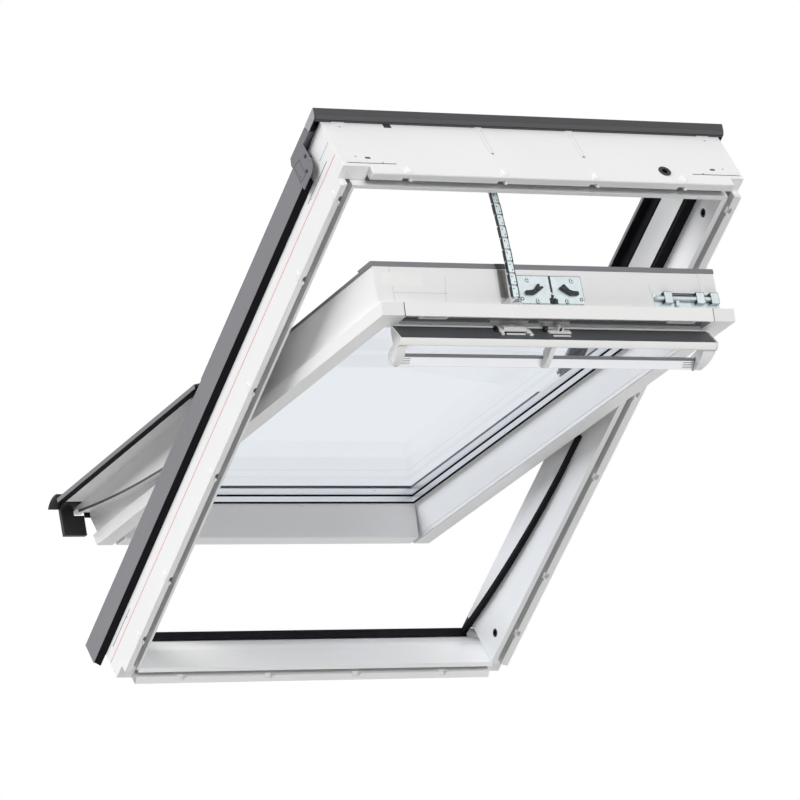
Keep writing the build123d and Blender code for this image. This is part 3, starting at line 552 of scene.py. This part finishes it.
# marks on the outer faces of the frame: (y, y, z, z) of a line or slot, (y, y, z) of a tick
faceMarks = {
    "x": 390.0, "proud": 0.12, "line": (33.2, 34.9, 3, 1172), "blue": (65.4, 66.5, 1131, 1172),
    "blueInset": 0.4, "slots": ((46.7, 48.2, 1054, 1146), (46.7, 48.2, 30, 123)),
    "ticks": ((44.0, 45.6, 1066), (44.0, 45.6, 104)), "tickHeight": 2.5}


def markFaces():
    x, proud, inset = faceMarks["x"], faceMarks["proud"], faceMarks["blueInset"]
    flush = [span(s, x, x + proud) for s in bothSides]
    deeper = [span(s, x - inset, x + proud - inset) for s in bothSides]
    lines = [brick(*ends, *faceMarks["line"]) for ends in flush]
    piece("redLines", lines, paintedLine, "frame", 0)
    lines = [brick(*ends, *faceMarks["blue"]) for ends in deeper]
    piece("blueLines", lines, blueLine, "frame", 0)
    cuts = [brick(*ends, *spot) for ends in flush for spot in faceMarks["slots"]]
    cuts += [brick(*ends, y0, y1, z, z + faceMarks["tickHeight"]) for ends in flush
             for y0, y1, z in faceMarks["ticks"]]
    piece("faceSlots", cuts, slotShade, "frame", 0)


# marks on the top face of the frame: slots (x, x, y, y), ovals (x, y), dots (x, y, radius), ribs and tabs (x)
topMarks = {
    "z": 1178.0, "proud": 0.15, "slots": ((-380, -287, 7.2, 8.8), (290, 385, 7.2, 8.8)),
    "ovals": ((-336, 21.5), (336, 21.5)), "ovalHalf": 2.4, "ovalReach": 3,
    "dots": ((-358, 24, 1.3), (358, 24, 1.3), (-312, 10, 1.4), (312, 10, 1.4)),
    "window": ((-272, 101), (-258, 101), (-258, 119.5), (-272, 119.5)), "windowProud": 0.5, "ribs": (-89, 89),
    "ribEnds": (41.5, 112.0), "ribHalf": 3.0, "ribProud": 0.45, "ribDot": (1.5, 2.0, 0.3),
    "head": (112, 119, 5), "tabs": (-357, 357), "tab": (4, 108, 8.5), "tabDot": (99, 1.5), "tabProud": 0.9,
    "edge": (0.3, 0.9, 0.2)}


def disc(x, y, radius, low, high, points=12):
    return prism(arc((x, y), radius, 0, 330, points), "z", low, high)


def markTop():
    z, top = topMarks["z"], topMarks["z"] + topMarks["proud"]
    y0, y1 = topMarks["ribEnds"]
    half, reach, rise = topMarks["ribHalf"], topMarks["ovalReach"], topMarks["ribProud"]
    dotY, dotRadius = topMarks["tabDot"]
    along, ribRadius, lift = topMarks["ribDot"]
    parts = [brick(x0, x1, near, far, z, top) for x0, x1, near, far in topMarks["slots"]]
    parts += [prism(stadium((x - reach, y), (x + reach, y), topMarks["ovalHalf"]), "z", z, top)
              for x, y in topMarks["ovals"]]
    parts += [disc(x, y, r, z, top) for x, y, r in topMarks["dots"]]
    parts += [disc(x, y0 + along, ribRadius, z + lift, top + rise) for x in topMarks["ribs"]]
    parts += [disc(x, dotY, dotRadius, z, top) for x in topMarks["tabs"]]
    piece("topSlots", parts, slotShade, "frame", 0)
    window = prism(topMarks["window"], "z", z, z + topMarks["windowProud"])
    piece("ductWindow", [window], darkNylon, "frame", 0.1)
    headFrom, headTo, wider = topMarks["head"]
    tabReach, tabY, tabHalf = topMarks["tab"]
    high = z + topMarks["tabProud"]
    arms = [prism(stadium((x, y0), (x, y1), half), "z", z, z + rise) for x in topMarks["ribs"]]
    arms += [prism(stadium((x, headFrom), (x, headTo), half + wider), "z", z, high) for x in topMarks["ribs"]]
    arms += [prism(stadium((x - tabReach, tabY), (x + tabReach, tabY), tabHalf), "z", z, high)
             for x in topMarks["tabs"]]
    piece("ribArms", arms, whiteLacquer, "frame", 0.4)
    near, far, proud = topMarks["edge"]
    edges = [brick(x - half - far, x - half - near, y0, y1, z, z + proud) for x in topMarks["ribs"]]
    edges += [brick(x + half + near, x + half + far, y0, y1, z, z + proud) for x in topMarks["ribs"]]
    piece("ribEdges", edges, paleLip, "frame", 0)


# lining clips: a pan-head screw in a washer on the groove's floor, with a nib on the lip beside each notch;
# rings and heads are (radius, height) profiles, nibs stand at (along, along) from the clip
clip = {
    "floor": 1.95, "sides": (108, 252, 496, 693, 942, 1117), "bottom": (-272, -96, 82, 261),
    "top": (-273, -91, 88, 262), "sideX": 371.5, "bottomZ": 18.9, "topZ": 1153.8,
    "ring": [(3.1, 0), (4.4, 0), (4.4, 1.1), (3.9, 1.5), (3.4, 1.2), (3.1, 0.9)],
    "head": [(0, 0), (2.8, 0), (2.8, 1.6), (2.325, 2.4), (1.5, 2.8), (1.3, 1.7), (0, 1.6)], "nibHalf": 1.6,
    "nibY": (-15.6, -11.5), "sideNib": (378.4, -9, -6), "endNib": (8, 11), "topNibZ": 1162.6, "bottomNibZ": 11.6}


def addClips():
    spots = [(s * clip["sideX"], z) for s in bothSides for z in clip["sides"]]
    spots += [(x, clip["bottomZ"]) for x in clip["bottom"]] + [(x, clip["topZ"]) for x in clip["top"]]
    rings = [hoop(clip["ring"], (x, clip["floor"], z), (0, -1, 0), 20) for x, z in spots]
    piece("clipWashers", rings, brightWhite, "frame", 0.1, replaced=("lining_clips",))
    screws = [turned(clip["head"], (x, clip["floor"], z), (0, -1, 0), 18) for x, z in spots]
    piece("clipScrews", screws, zincSteel, "frame", 0)
    sideX, low, high = clip["sideNib"]
    near, far = clip["endNib"]
    lines = [((s * sideX, z + low), (s * sideX, z + high)) for s in bothSides for z in clip["sides"]]
    lines += [((x + near, clip["topNibZ"]), (x + far, clip["topNibZ"])) for x in clip["top"]]
    lines += [((x + near, clip["bottomNibZ"]), (x + far, clip["bottomNibZ"])) for x in clip["bottom"]]
    nibs = [prism(stadium(start, end, clip["nibHalf"]), "y", *clip["nibY"]) for start, end in lines]
    piece("lipNibs", nibs, brightWhite, "frame", 0.3)


# plugs over the corner fixings, as a (radius, height) profile
cornerPlug = {
    "x": 375.0, "y": 0.1, "z": (23.2, 1164.0),
    "profile": [(0, 0), (2.5, 0), (2.5, -3.0), (3.6, -3.0), (3.6, -3.4), (0, -3.7)]}


def addPlugs():
    plugs = [turned(cornerPlug["profile"], (s * cornerPlug["x"], cornerPlug["y"], z), (0, 1, 0), 20)
             for s in bothSides for z in cornerPlug["z"]]
    piece("cornerPlugs", plugs, whitePlastic, "frame", 0)


# black seals the sash closes on: straight beside the upper half, bowed beside the lower half, along the top
# and along the sill; outer and inner are the ends and middles (y, z) of the bow's edges
seals = {
    "upper": [(358.5, 49.5), (346.0, 52.0), (341.0, 52.4), (342.5, 57), (341.0, 61.5), (345.0, 64.0),
        (358.5, 67.5)],
    "upperZ": (632, 1117), "lowerX": (348.5, 358.5), "outer": ((49.4, 452), (58.4, 300), (99, 5)),
    "inner": ((90.5, 5), (51.2, 300), (43.4, 452)), "foot": (91.5, 3.2), "head": ((43.4, 540), (49.4, 540)),
    "top": [(51.6, 1136.9), (51.6, 1121.0), (57, 1123.5), (60, 1120.0), (66, 1122.0), (68, 1124.0),
        (68, 1136.9)],
    "topX": ((-330, -101), (-75, 330)), "sillHalf": 357.8,
    "sill": [(86, 3.05), (84.5, 5), (86.5, 7.2), (92, 6.4), (98, 7.4), (104.5, 7.2), (107, 5), (107, 3.05)]}


def addSeals():
    lower = [*bow(*seals["outer"]).tolist(), seals["foot"], *bow(*seals["inner"]).tolist(), *seals["head"]]
    parts = [prism([(s * x, y) for x, y in seals["upper"]], "z", *seals["upperZ"]) for s in bothSides]
    parts += [prism(lower, "x", *span(s, *seals["lowerX"])) for s in bothSides]
    parts += [prism(seals["top"], "x", start, end) for start, end in seals["topX"]]
    piece("sashSeals", parts, blackRubber, "frame", 0.4, replaced=("sash_seal",))
    sill = prism(seals["sill"], "x", -seals["sillHalf"], seals["sillHalf"])
    piece("sillSeal", [sill], blackRubber, "frame", 0.3, replaced=("sill_seal",))


# painted shade: grey on the floor of the lining groove, and the tabs of the clips over the outer lip:
# side tabs are (x, x, y, y, from, to) with the last two from the clip's height, top tabs (from, to, y, y, z, z)
grooveTape = {
    "y": (1.2, 2.0), "side": (366.4, 376.6, 31, 1148),
    "ends": ((-358, 358, 13.7, 24.1), (-338, 358, 1147.5, 1160.0)),
    "sideTabs": ((389.6, 390.6, -13, -4.5, -5.5, 4.5), (389.6, 390.9, -10.5, -1.0, 1.0, 8.5)),
    "topTabs": ((-4.5, 5.5, -13, -4.5, 1177.6, 1178.8), (1, 9, -10, 2.0, 1177.6, 1179.0))}


def addGrooveShadeAndTabs():
    y0, y1 = grooveTape["y"]
    x0, x1, z0, z1 = grooveTape["side"]
    parts = [brick(*span(s, x0, x1), y0, y1, z0, z1) for s in bothSides]
    parts += [brick(left, right, y0, y1, low, high) for left, right, low, high in grooveTape["ends"]]
    piece("grooveTape", parts, foamTape, "frame", 0)
    tabs = [brick(*span(s, near, far), front, back, z + low, z + high)
            for near, far, front, back, low, high in grooveTape["sideTabs"]
            for s in bothSides for z in clip["sides"]]
    tabs += [brick(x + start, x + end, front, back, low, high)
             for start, end, front, back, low, high in grooveTape["topTabs"] for x in clip["top"]]
    piece("clipTabs", tabs, brightWhite, "frame", 0.35)


# dark and bright bands round the glass as (inward, y) sections carried round the rebate,
# and a painted shade line along the slanted step of the stiles as two bows (y, z)
beadBands = {
    "frame": (297.5, 84.1, 1066.9), "glassSide": [(0.0, 103.2), (0.6, 103.2), (0.9, 106.9), (0.0, 106.9)],
    "roomSide": [(-1.4, 89.9), (0.3, 89.9), (0.6, 90.4), (0.6, 93.0), (0.0, 93.0), (0.0, 91.1), (-1.4, 91.1)],
    "bright": [(0.0, 93.2), (0.4, 93.2), (0.4, 103.0), (0.0, 103.0)], "lineX": (355.0, 355.25),
    "line": (((51.0, 448), (60.0, 300), (99.6, 14)), ((104.2, 14), (64.0, 300), (54.6, 448)))}


def frameRing(half, z0, z1, section):
    # a section (inward, y) carried round a rectangle and mitred at its corners
    corners = np.array([(-1, 0), (1, 0), (1, 1), (-1, 1)], float)
    inward = np.array([(1, 1), (-1, 1), (-1, -1), (1, -1)], float)
    base = np.column_stack([corners[:, 0] * half, z0 + corners[:, 1] * (z1 - z0)])
    rows = []
    for depth, y in section:
        moved = base + inward * depth
        rows.append(np.column_stack([moved[:, 0], np.full(4, y), moved[:, 1]]))
    return np.stack(rows, 1).reshape(-1, 3), ringFaces(4, len(section))


def addBeadBands():
    around = beadBands["frame"]
    rubbers = [frameRing(*around, beadBands[side]) for side in ("glassSide", "roomSide")]
    piece("beadRubbers", rubbers, blackRubber, "sash", 0)
    strip = frameRing(*around, beadBands["bright"])
    piece("beadStrip", [strip], anodisedAluminium, "sash", 0)
    outline = np.concatenate([bow(*edge) for edge in beadBands["line"]])
    lines = [prism(outline, "x", *span(s, *beadBands["lineX"])) for s in bothSides]
    piece("rebateLines", lines, slotShade, "sash", 0)


# hood trim: painted light on the front fold's band and on the end folds, and a plate outline on each cap;
# band, end and capMark are (y, z) outlines, capDot is (y, z, radius)
hoodTrim = {
    "half": 400.2, "bandInset": 1.5,
    "band": ((111.6, 1181.7), (117.0, 1187.0), (116.8, 1187.15), (111.4, 1182.0)),
    "end": [(112.4, 1152.6), (112.4, 1181.4), (117.2, 1186.3), (128.2, 1191.6), (129.2, 1190.9),
        (129.2, 1152.6)],
    "endX": (400.35, 400.9), "capX": (401.5, 401.75, 401.8), "capLine": 0.55,
    "capMark": ((104.0, 1101.0), (109.0, 1082.0), (74.0, 1076.8), (70.0, 1097.0)), "capDot": (82.0, 1083.0, 1.6)}


def addHoodTrim():
    reach = hoodTrim["half"] - hoodTrim["bandInset"]
    piece("hoodBand", [prism(hoodTrim["band"], "x", -reach, reach)], bandSheet, "frame", 0)
    near, far = hoodTrim["endX"]
    ends = [prism(hoodTrim["end"], "x", s * near, s * far) for s in bothSides]
    piece("hoodEndEdges", ends, hoodEdge, "frame", 0.15)
    low, high, dotHigh = hoodTrim["capX"]
    corners = np.array(hoodTrim["capMark"])
    y, z, radius = hoodTrim["capDot"]
    marks = []
    for s in bothSides:
        for p, q in zip(corners, np.roll(corners, -1, 0)):
            marks.append(prism(stadium(p, q, hoodTrim["capLine"], 3), "x", s * low, s * high))
        marks.append(prism(arc((y, z), radius, 0, 330, 12), "x", s * low, s * dotHigh))
    piece("capMarks", marks, slotShade, "frame", 0)


# push-chain of side plates, bright top plates and pins, from the drive's outlet to the bracket;
# start, middle and end are (y, z), lid is (from the pin, low, high), core is (from the pin, low, high, gap)
chainRun = {
    "links": 12, "start": (60.0, 1149.6), "middle": (-83.0, 1097.8), "end": (-175.0, 1052.0), "left": -95.2,
    "right": -80.8, "plate": 1.9, "half": 3.1, "inset": 0.55, "slotInset": 1.2, "lid": (1.6, 2.0, 3.2),
    "lidGap": 0.2, "core": (3, -2.2, 1.2, 1.2), "holes": ((0.28, 5.4), (0.72, -5.0)),
    "hole": [(0, 0), (1.15, 0), (1.15, 0.12), (0, 0.12)], "holeLift": 0.02, "pinRadius": (1.9, 1.2),
    "pinPast": (0.3, 0.6, 0.9)}


def addChain():
    knots = bow(chainRun["start"], chainRun["middle"], chainRun["end"], chainRun["links"] + 1)
    left, right, plate, half = chainRun["left"], chainRun["right"], chainRun["plate"], chainRun["half"]
    fromPin, low, high = chainRun["lid"]
    coreFrom, coreLow, coreHigh, coreGap = chainRun["core"]
    sidePlates, tops, marks = [], [], []
    for number, (p, q) in enumerate(zip(knots, knots[1:])):
        along = (q - p) / np.linalg.norm(q - p)
        normal = np.array([-along[1], along[0]])
        normal = normal if normal[1] > 0 else -normal

        def box(shy, bottom, top):
            # corners of a box on the link, shy of both its pins
            start, end = p + along * shy, q - along * shy
            return [start + normal * bottom, end + normal * bottom, end + normal * top, start + normal * top]

        inset = chainRun["inset"] if number % 2 else 0.0
        slot = stadium(p + along * chainRun["slotInset"], q - along * chainRun["slotInset"], half, 7)
        sidePlates.append(prism(slot, "x", left + inset, left + plate + inset))
        sidePlates.append(prism(slot, "x", right - inset, right - plate - inset))
        gap = plate + chainRun["lidGap"]
        tops.append(prism(box(fromPin, low, high), "x", left + gap, right - gap))
        gap = plate + coreGap
        tops.append(prism(box(coreFrom, coreLow, coreHigh), "x", left + gap, right - gap))
        for share, offset in chainRun["holes"]:
            y, z = p + (q - p) * share + normal * (high + chainRun["holeLift"])
            x = (left if offset > 0 else right) + offset
            marks.append(turned(chainRun["hole"], (x, y, z), (0.0, *normal), 10))
    thick, thin = chainRun["pinRadius"]
    before, collar, end = chainRun["pinPast"]
    length = right - left
    pin = [(0, 0), (thick, 0), (thick, length + collar), (thin, length + end), (0, length + end)]
    pins = [turned(pin, (left - before, y, z), (1, 0, 0), 12) for y, z in knots]
    made = [piece("chainSidePlates", sidePlates, darkSteel, None, replaced=("chain",)),
            piece("chainTopPlates", tops, zincSteel, None),
            piece("chainPins", pins, zincSteel, None, 0),
            piece("chainHoles", marks, darkSteel, None, 0)]
    for thing in made:
        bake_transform(thing, "frame", "sash", start=(-0.088, 0.060, 1.150), end=(-0.088, -0.175, 1.052))


# sash pieces, drawn with the sash closed

# cover over the top rail's flange: skin and gap are (y, z) sections, behind is (y, y, z, z) of the gap behind
ventCover = {
    "half": 300.6, "joint": 1.3, "behind": (51.15, 52.9, 1108.0, 1108.3), "behindX": (-97, 61),
    "skin": [(28.2, 1127.4), (28.2, 1130.75), (50.9, 1133.35), (50.9, 1132.9), (28.55, 1130.4),
        (28.55, 1127.4)],
    "gap": [(28.1, 1127.5), (28.1, 1130.85), (51.0, 1133.45), (51.0, 1133.1), (28.5, 1130.5), (28.5, 1127.5)]}


def addVentCover():
    half, joint = ventCover["half"], ventCover["joint"]
    piece("ventCover", [prism(ventCover["skin"], "x", -half, half)], whiteCap, "sash", 0)
    parts = [prism(ventCover["gap"], "x", *span(s, half - joint, half)) for s in bothSides]
    left, right = ventCover["behindX"]
    parts += [brick(-half, left, *ventCover["behind"]), brick(right, half, *ventCover["behind"])]
    piece("ventCoverGaps", parts, slotShade, "sash", 0)


# top face of the sash: a blank label, painted recess shade, thin joint lines and the strip behind the chain;
# label is (x, x, y, y), recess shade, lines and bend are (x, y), strip is (y, z)
sashTop = {
    "z": 1108.0, "label": (-322, -242, 89.5, 113.5), "labelProud": 0.25, "recessProud": 0.3,
    "recess": ((-97.6, 62), (-82.0, 62), (-78.5, 122.5), (-94.5, 122.5)),
    "lines": (((-301, 78.3), (-201, 78.1)), ((-196.2, 111), (-204.0, 63))), "lineHalf": 0.42, "lineProud": 0.12,
    "bend": ((199.3, 104), (198.6, 97), (198.9, 88), (199.8, 80), (201.0, 72)), "bendHalf": 0.4,
    "joint": (300.5, 53, 123), "jointHalf": 0.35, "fineProud": 0.1, "dot": (-201.3, 78.1, 1.5, 0.3),
    "strip": [(124.0, 1108.4), (124.0, 1108.75), (133.2, 1108.75), (133.35, 1101), (133.0, 1101),
        (133.0, 1108.4)],
    "stripX": (-96.5, -78.5)}


def markSashTop():
    z = sashTop["z"]
    label = brick(*sashTop["label"], z, z + sashTop["labelProud"])
    piece("blankLabel", [label], paperLabel, "sash", 0.08)
    recess = prism(sashTop["recess"], "z", z, z + sashTop["recessProud"])
    piece("chainRecess", [recess], recessShade, "sash", 0)
    thin = [prism(stadium(p, q, sashTop["lineHalf"], 3), "z", z, z + sashTop["lineProud"])
            for p, q in sashTop["lines"]]
    fine = z + sashTop["fineProud"]
    bend = np.array(sashTop["bend"])
    thin += [prism(stadium(p, q, sashTop["bendHalf"], 3), "z", z, fine) for p, q in zip(bend, bend[1:])]
    x, near, far = sashTop["joint"]
    joints = [((s * x, near), (s * x, far)) for s in bothSides]
    thin += [prism(stadium(p, q, sashTop["jointHalf"], 3), "z", z, fine) for p, q in joints]
    x, y, radius, high = sashTop["dot"]
    thin.append(disc(x, y, radius, fine, z + high, 10))
    piece("sashTopLines", thin, paleLip, "sash", 0)
    strip = prism(sashTop["strip"], "x", *sashTop["stripX"])
    piece("jointCover", [strip], darkSheet, "sash", 0)


# lock: screw heads, rims, the claws' tips and hubs, and the link that the lever works, with places as (x, y);
# rim, halo, pin and hub are (radius, height) profiles, tip is (x, y) from a claw's axis
lockFace = {
    "z": 1109.6, "heads": ((-40.5, 104.8), (45.6, 104.7), (-27, 67.4), (30, 67.5)),
    "rims": ((-56.5, 71.1), (58.5, 71.5)), "rim": [(2.2, 0), (3.3, 0), (3.3, 0.5), (2.9, 0.8), (2.2, 0.5)],
    "halo": [(3.7, 0), (4.5, 0), (4.3, 0.25), (3.9, 0.25)], "cross": (1.8, 0.45, 1.2, 1.5),
    "slots": ((0.9, 5.1, 83.2, 112, -2.4, -0.25), (-3.8, 11.8, 63.4, 72.8, -2.4, -0.3)),
    "link": (((-0.5, 66.5), (3.5, 79), 2.2, 1.6), ((4.2, 64.5), (8.0, 72), 2.0, 2.2)), "linkLow": -0.2,
    "pins": ((3.3, 78.6), (8.0, 71.8)), "pin": [(0, 0), (1.5, 0), (1.5, 1.2), (1.0, 1.6), (0, 1.7)],
    "pinLow": 1.6, "edges": ((-60.6, -59.9, 64, 112.8), (64.0, 64.6, 64, 112.8), (-60.6, 64.6, 112.2, 112.9)),
    "edgeProud": 0.12, "claws": (("Left", -30.0, 84.0, 1), ("Right", 34.0, 84.0, -1)), "tipZ": (1114.3, 1115.0),
    "hubZ": 1114.2, "tip": ((1, 5.4), (6, 12.6), (9.2, 11.6), (8.2, 7.7), (14.7, 8.2), (15.1, 5.8), (6, 0.2)),
    "hub": [(0, 0), (3.2, 0), (3.2, 0.8), (2.6, 1.2), (0, 1.3)]}


def addLock():
    z = lockFace["z"]
    rings = [hoop(lockFace["rim"], (x, y, z), (0, 0, 1), 18) for x, y in lockFace["rims"]]
    rings += [hoop(lockFace["halo"], (x, y, z), (0, 0, 1), 18) for x, y in lockFace["heads"]]
    piece("lockRims", rings, darkSteel, "sash", 0)
    reach, half, low, high = lockFace["cross"]
    bars = [((x - reach, y), (x + reach, y)) for x, y in lockFace["heads"]]
    bars += [((x, y - reach), (x, y + reach)) for x, y in lockFace["heads"]]
    cross = [prism(stadium(p, q, half, 3), "z", z + low, z + high) for p, q in bars]
    piece("screwCrosses", cross, darkSteel, "sash", 0)
    black = [brick(x0, x1, y0, y1, z + below, z + above) for x0, x1, y0, y1, below, above in lockFace["slots"]]
    piece("lockSlots", black, darkNylon, "sash", 0)
    link = [prism(stadium(p, q, width), "z", z + lockFace["linkLow"], z + above)
            for p, q, width, above in lockFace["link"]]
    piece("lockLink", link, blackenedSteel, "sash", 0.4)
    pins = [turned(lockFace["pin"], (x, y, z + lockFace["pinLow"]), (0, 0, 1), 14) for x, y in lockFace["pins"]]
    piece("lockLinkPins", pins, zincSteel, "sash", 0)
    edges = [brick(*place, z, z + lockFace["edgeProud"]) for place in lockFace["edges"]]
    piece("plateEdges", edges, darkSteel, "sash", 0)
    for word, x, y, s in lockFace["claws"]:
        body = "claw_" + word.lower()
        tip = prism([(x + dx * s, y + dy) for dx, dy in lockFace["tip"]], "z", *lockFace["tipZ"])
        piece("clawTip" + word, [tip], darkSteel, body, 0.3)
        hub = turned(lockFace["hub"], (x, y, lockFace["hubZ"]), (0, 0, 1), 16)
        piece("clawHub" + word, [hub], blackenedSteel, body, 0)


# barrel bolt: painted shade at its keeps' edges and in the slots by the rod, the rod's nose and its fine rings;
# keeps are (x, x), slots are (x, x, y, y, z, z), nose and ring are (radius, height) profiles
boltShape = {
    "y": 75.3, "z": 1112.9, "keeps": ((219, 235), (283, 299), (312, 327.3)), "edge": 0.25,
    "keepY": (66.1, 85.7), "keepZ": (1108.3, 1118.05), "backY": (85.3, 85.9), "backZ": 1109.4,
    "slots": ((237, 281, 77.6, 81.2, 1109.4, 1116.2), (300.5, 310.5, 78.2, 81.4, 1109.4, 1115.6),
        (235.2, 282.8, 84.8, 86.6, 1109.35, 1110.6)),
    "noseX": 203.6, "ringX": (213, 240, 250, 277),
    "nose": [(0, 0), (3.4, 0), (4.57, 1.4), (4.57, 3.0), (4.37, 3.6), (0, 3.6)],
    "ring": [(4.47, 0), (4.59, 0.1), (4.59, 0.7), (4.47, 0.8)]}


def addBolt():
    y, z, edge = boltShape["y"], boltShape["z"], boltShape["edge"]
    low, high = boltShape["keepZ"]
    keepShadeEdges = []
    for x0, x1 in boltShape["keeps"]:
        keepShadeEdges += [brick(x - edge, x + edge, *boltShape["keepY"], low, high) for x in (x0, x1)]
        keepShadeEdges.append(brick(x0, x1, *boltShape["backY"], boltShape["backZ"], high))
    piece("boltKeepEdges", keepShadeEdges, darkSteel, "sash", 0)
    piece("boltSlot", [brick(*slot) for slot in boltShape["slots"]], darkNylon, "sash", 0.2)
    nose = turned(boltShape["nose"], (boltShape["noseX"], y, z), (1, 0, 0), 18)
    piece("boltNose", [nose], zincSteel, "bolt", 0)
    rings = [hoop(boltShape["ring"], (x, y, z), (1, 0, 0), 20) for x in boltShape["ringX"]]
    piece("boltBands", rings, darkSteel, "bolt", 0)


# flap: boxes are (x, x, along, along, above, above), along the plate from its hinge and above its upper face;
# stub is (along, above, radius, x, x), rim is a (y, z) outline, rimX is (x, depth) at each end
flapLine = {"y": 27.3, "z": 1089.2, "rise": math.atan2(22.6, 29.7)}
flapShape = {
    "pale": ((-98, -58, 5, 13, 7.0, 8.6), (-108, -102, 8, 26, 0.2, 3.6), (-54, -47, 8, 27, 0.2, 3.6),
        (-84, -78, 2.5, 6, 7.0, 9.5), (-96, -60, 20.5, 24, 0.1, 1.6), (4.5, 7.0, 4, 16, 3, 9.6),
        (13.0, 15.5, 4, 16, 3, 9.6), (-12, 30, 16.4, 19.4, 0.2, 4.2), (-8, 26, 24, 27.5, 0.1, 1.6),
        (4.5, 15.5, 3.0, 5.0, 8.8, 10.2)),
    "dark": ((-98, -58, 14.5, 20, 0.1, 1.9), (-114, -109, 4, 16, 0.1, 6), (-10, 28, 20, 23.6, 0.1, 1.0),
        (7.4, 12.6, 5, 15, 3.2, 7)),
    "stub": (10, 4.8, 4.6, -20, -13.5), "stubSides": 14,
    "rim": [(-10.4, 1107.9), (-12.9, 1104.7), (-12.7, 1101.2), (-9.1, 1100.3), (-6.3, 1101.8), (-6.3, 1108.6)],
    "rimX": ((-304.0, -0.09), (309.5, 0.09))}


def flapPoint(along, above):
    c, s = math.cos(flapLine["rise"]), math.sin(flapLine["rise"])
    return (flapLine["y"] - along * c + above * s, flapLine["z"] + along * s + above * c)


def flapBox(x0, x1, a0, a1, b0, b1):
    return prism([flapPoint(a0, b0), flapPoint(a1, b0), flapPoint(a1, b1), flapPoint(a0, b1)], "x", x0, x1)


def addFlapFittings():
    # the slider and the lever, the painted shadows under them, and the dark edge of the front strip at its ends
    piece("leverParts", [flapBox(*box) for box in flapShape["pale"]], whiteCap, "flap", 0.4)
    along, above, radius, x0, x1 = flapShape["stub"]
    turns = np.linspace(0, 2 * math.pi, flapShape["stubSides"] + 1)[:-1]
    stub = [flapPoint(along + radius * math.cos(t), above + radius * math.sin(t)) for t in turns]
    dark = [flapBox(*box) for box in flapShape["dark"]] + [prism(stub, "x", x0, x1)]
    piece("leverShadows", dark, darkNylon, "flap", 0.3)
    rims = [prism(flapShape["rim"], "x", *sorted((x, x + depth))) for x, depth in flapShape["rimX"]]
    piece("frontStripEnds", rims, slotShade, "flap", 0)


# bar: a dark strip along its upper edge, fine grip ribs near the ends and dark sheaths over the ends;
# top, foot and sheath are (y, z), dark strip and ribs are measured down the bar's face
barFace = {
    "top": (-15.8, 1071.0), "foot": (-30.4, 1056.9), "half": 287.4, "groove": (-0.1, 4.4), "ribs": 4,
    "firstRib": (7.0, 7.9), "ribStep": 3.1, "ribX": (286.5, 265.5), "sunk": 0.1, "proud": 0.14,
    "sheath": [(-15.2, 1072.6), (-31.6, 1057.2), (-31.0, 1053.6), (-27.0, 1052.6), (-12.4, 1066.4),
        (-12.2, 1071.0)],
    "sheathX": (287.45, 291.0)}


def addBarMarks():
    top, foot = np.array(barFace["top"]), np.array(barFace["foot"])
    down = (foot - top) / np.linalg.norm(foot - top)
    out = np.array([down[1], -down[0]])
    out = out if out[0] < 0 else -out
    inner, outer = -out * barFace["sunk"], out * barFace["proud"]

    def strip(a, b, x0, x1):
        start, end = top + down * a, top + down * b
        return prism([start + inner, end + inner, end + outer, start + outer], "x", x0, x1)

    groove = strip(*barFace["groove"], -barFace["half"], barFace["half"])
    piece("barGroove", [groove], barShade, "flap", 0)
    near, far = barFace["firstRib"]
    ribs = [strip(near + barFace["ribStep"] * i, far + barFace["ribStep"] * i, *span(s, *barFace["ribX"]))
            for s in bothSides for i in range(barFace["ribs"])]
    piece("barRibs", ribs, slotShade, "flap", 0)
    sheaths = [prism(barFace["sheath"], "x", *span(s, *barFace["sheathX"])) for s in bothSides]
    piece("barEndCaps", sheaths, slotShade, "flap", 0.3)


# ventilation channel: bright lower lip in lengths, dark windows over the filter, and rails that leave room for
# the levers; lip and railX are (x, x), the sections are (y, y, z, z)
channel = {
    "lip": ((-296, -262), (-208, -113), (-64, -28), (9, 28), (124, 152), (206, 222)),
    "lipSection": (28.1, 29.6, 1088.6, 1091.9), "windows": (-280, -252, 56, 10),
    "windowSection": (37.6, 38.4, 1112.5, 1122.0), "lowRailX": ((-295.5, -118), (-42, -24), (38, 295.5)),
    "lowRail": (34.0, 37.6, 1091.6, 1095.0), "highRail": (-295.5, 295.5, 36.6, 38.4, 1123.5, 1126.8)}


def addChannel():
    lengths = [brick(x0, x1, *channel["lipSection"]) for x0, x1 in channel["lip"]]
    piece("channelLip", lengths, whiteCap, "sash", 0.2)
    start, end, step, count = channel["windows"]
    windows = [brick(start + step * i, end + step * i, *channel["windowSection"]) for i in range(count)]
    piece("channelWindows", windows, slotShade, "sash", 0.2)
    rails = [brick(x0, x1, *channel["lowRail"]) for x0, x1 in channel["lowRailX"]]
    rails.append(brick(*channel["highRail"]))
    piece("channelRails", rails, greyNylon, "sash", 0.3)


for build in (markFaces, markTop, addClips, addPlugs, addSeals, addGrooveShadeAndTabs, addBeadBands, addHoodTrim,
              addChain, addVentCover, markSashTop, addLock, addBolt, addFlapFittings, addBarMarks, addChannel):
    build()
print("stage: details")
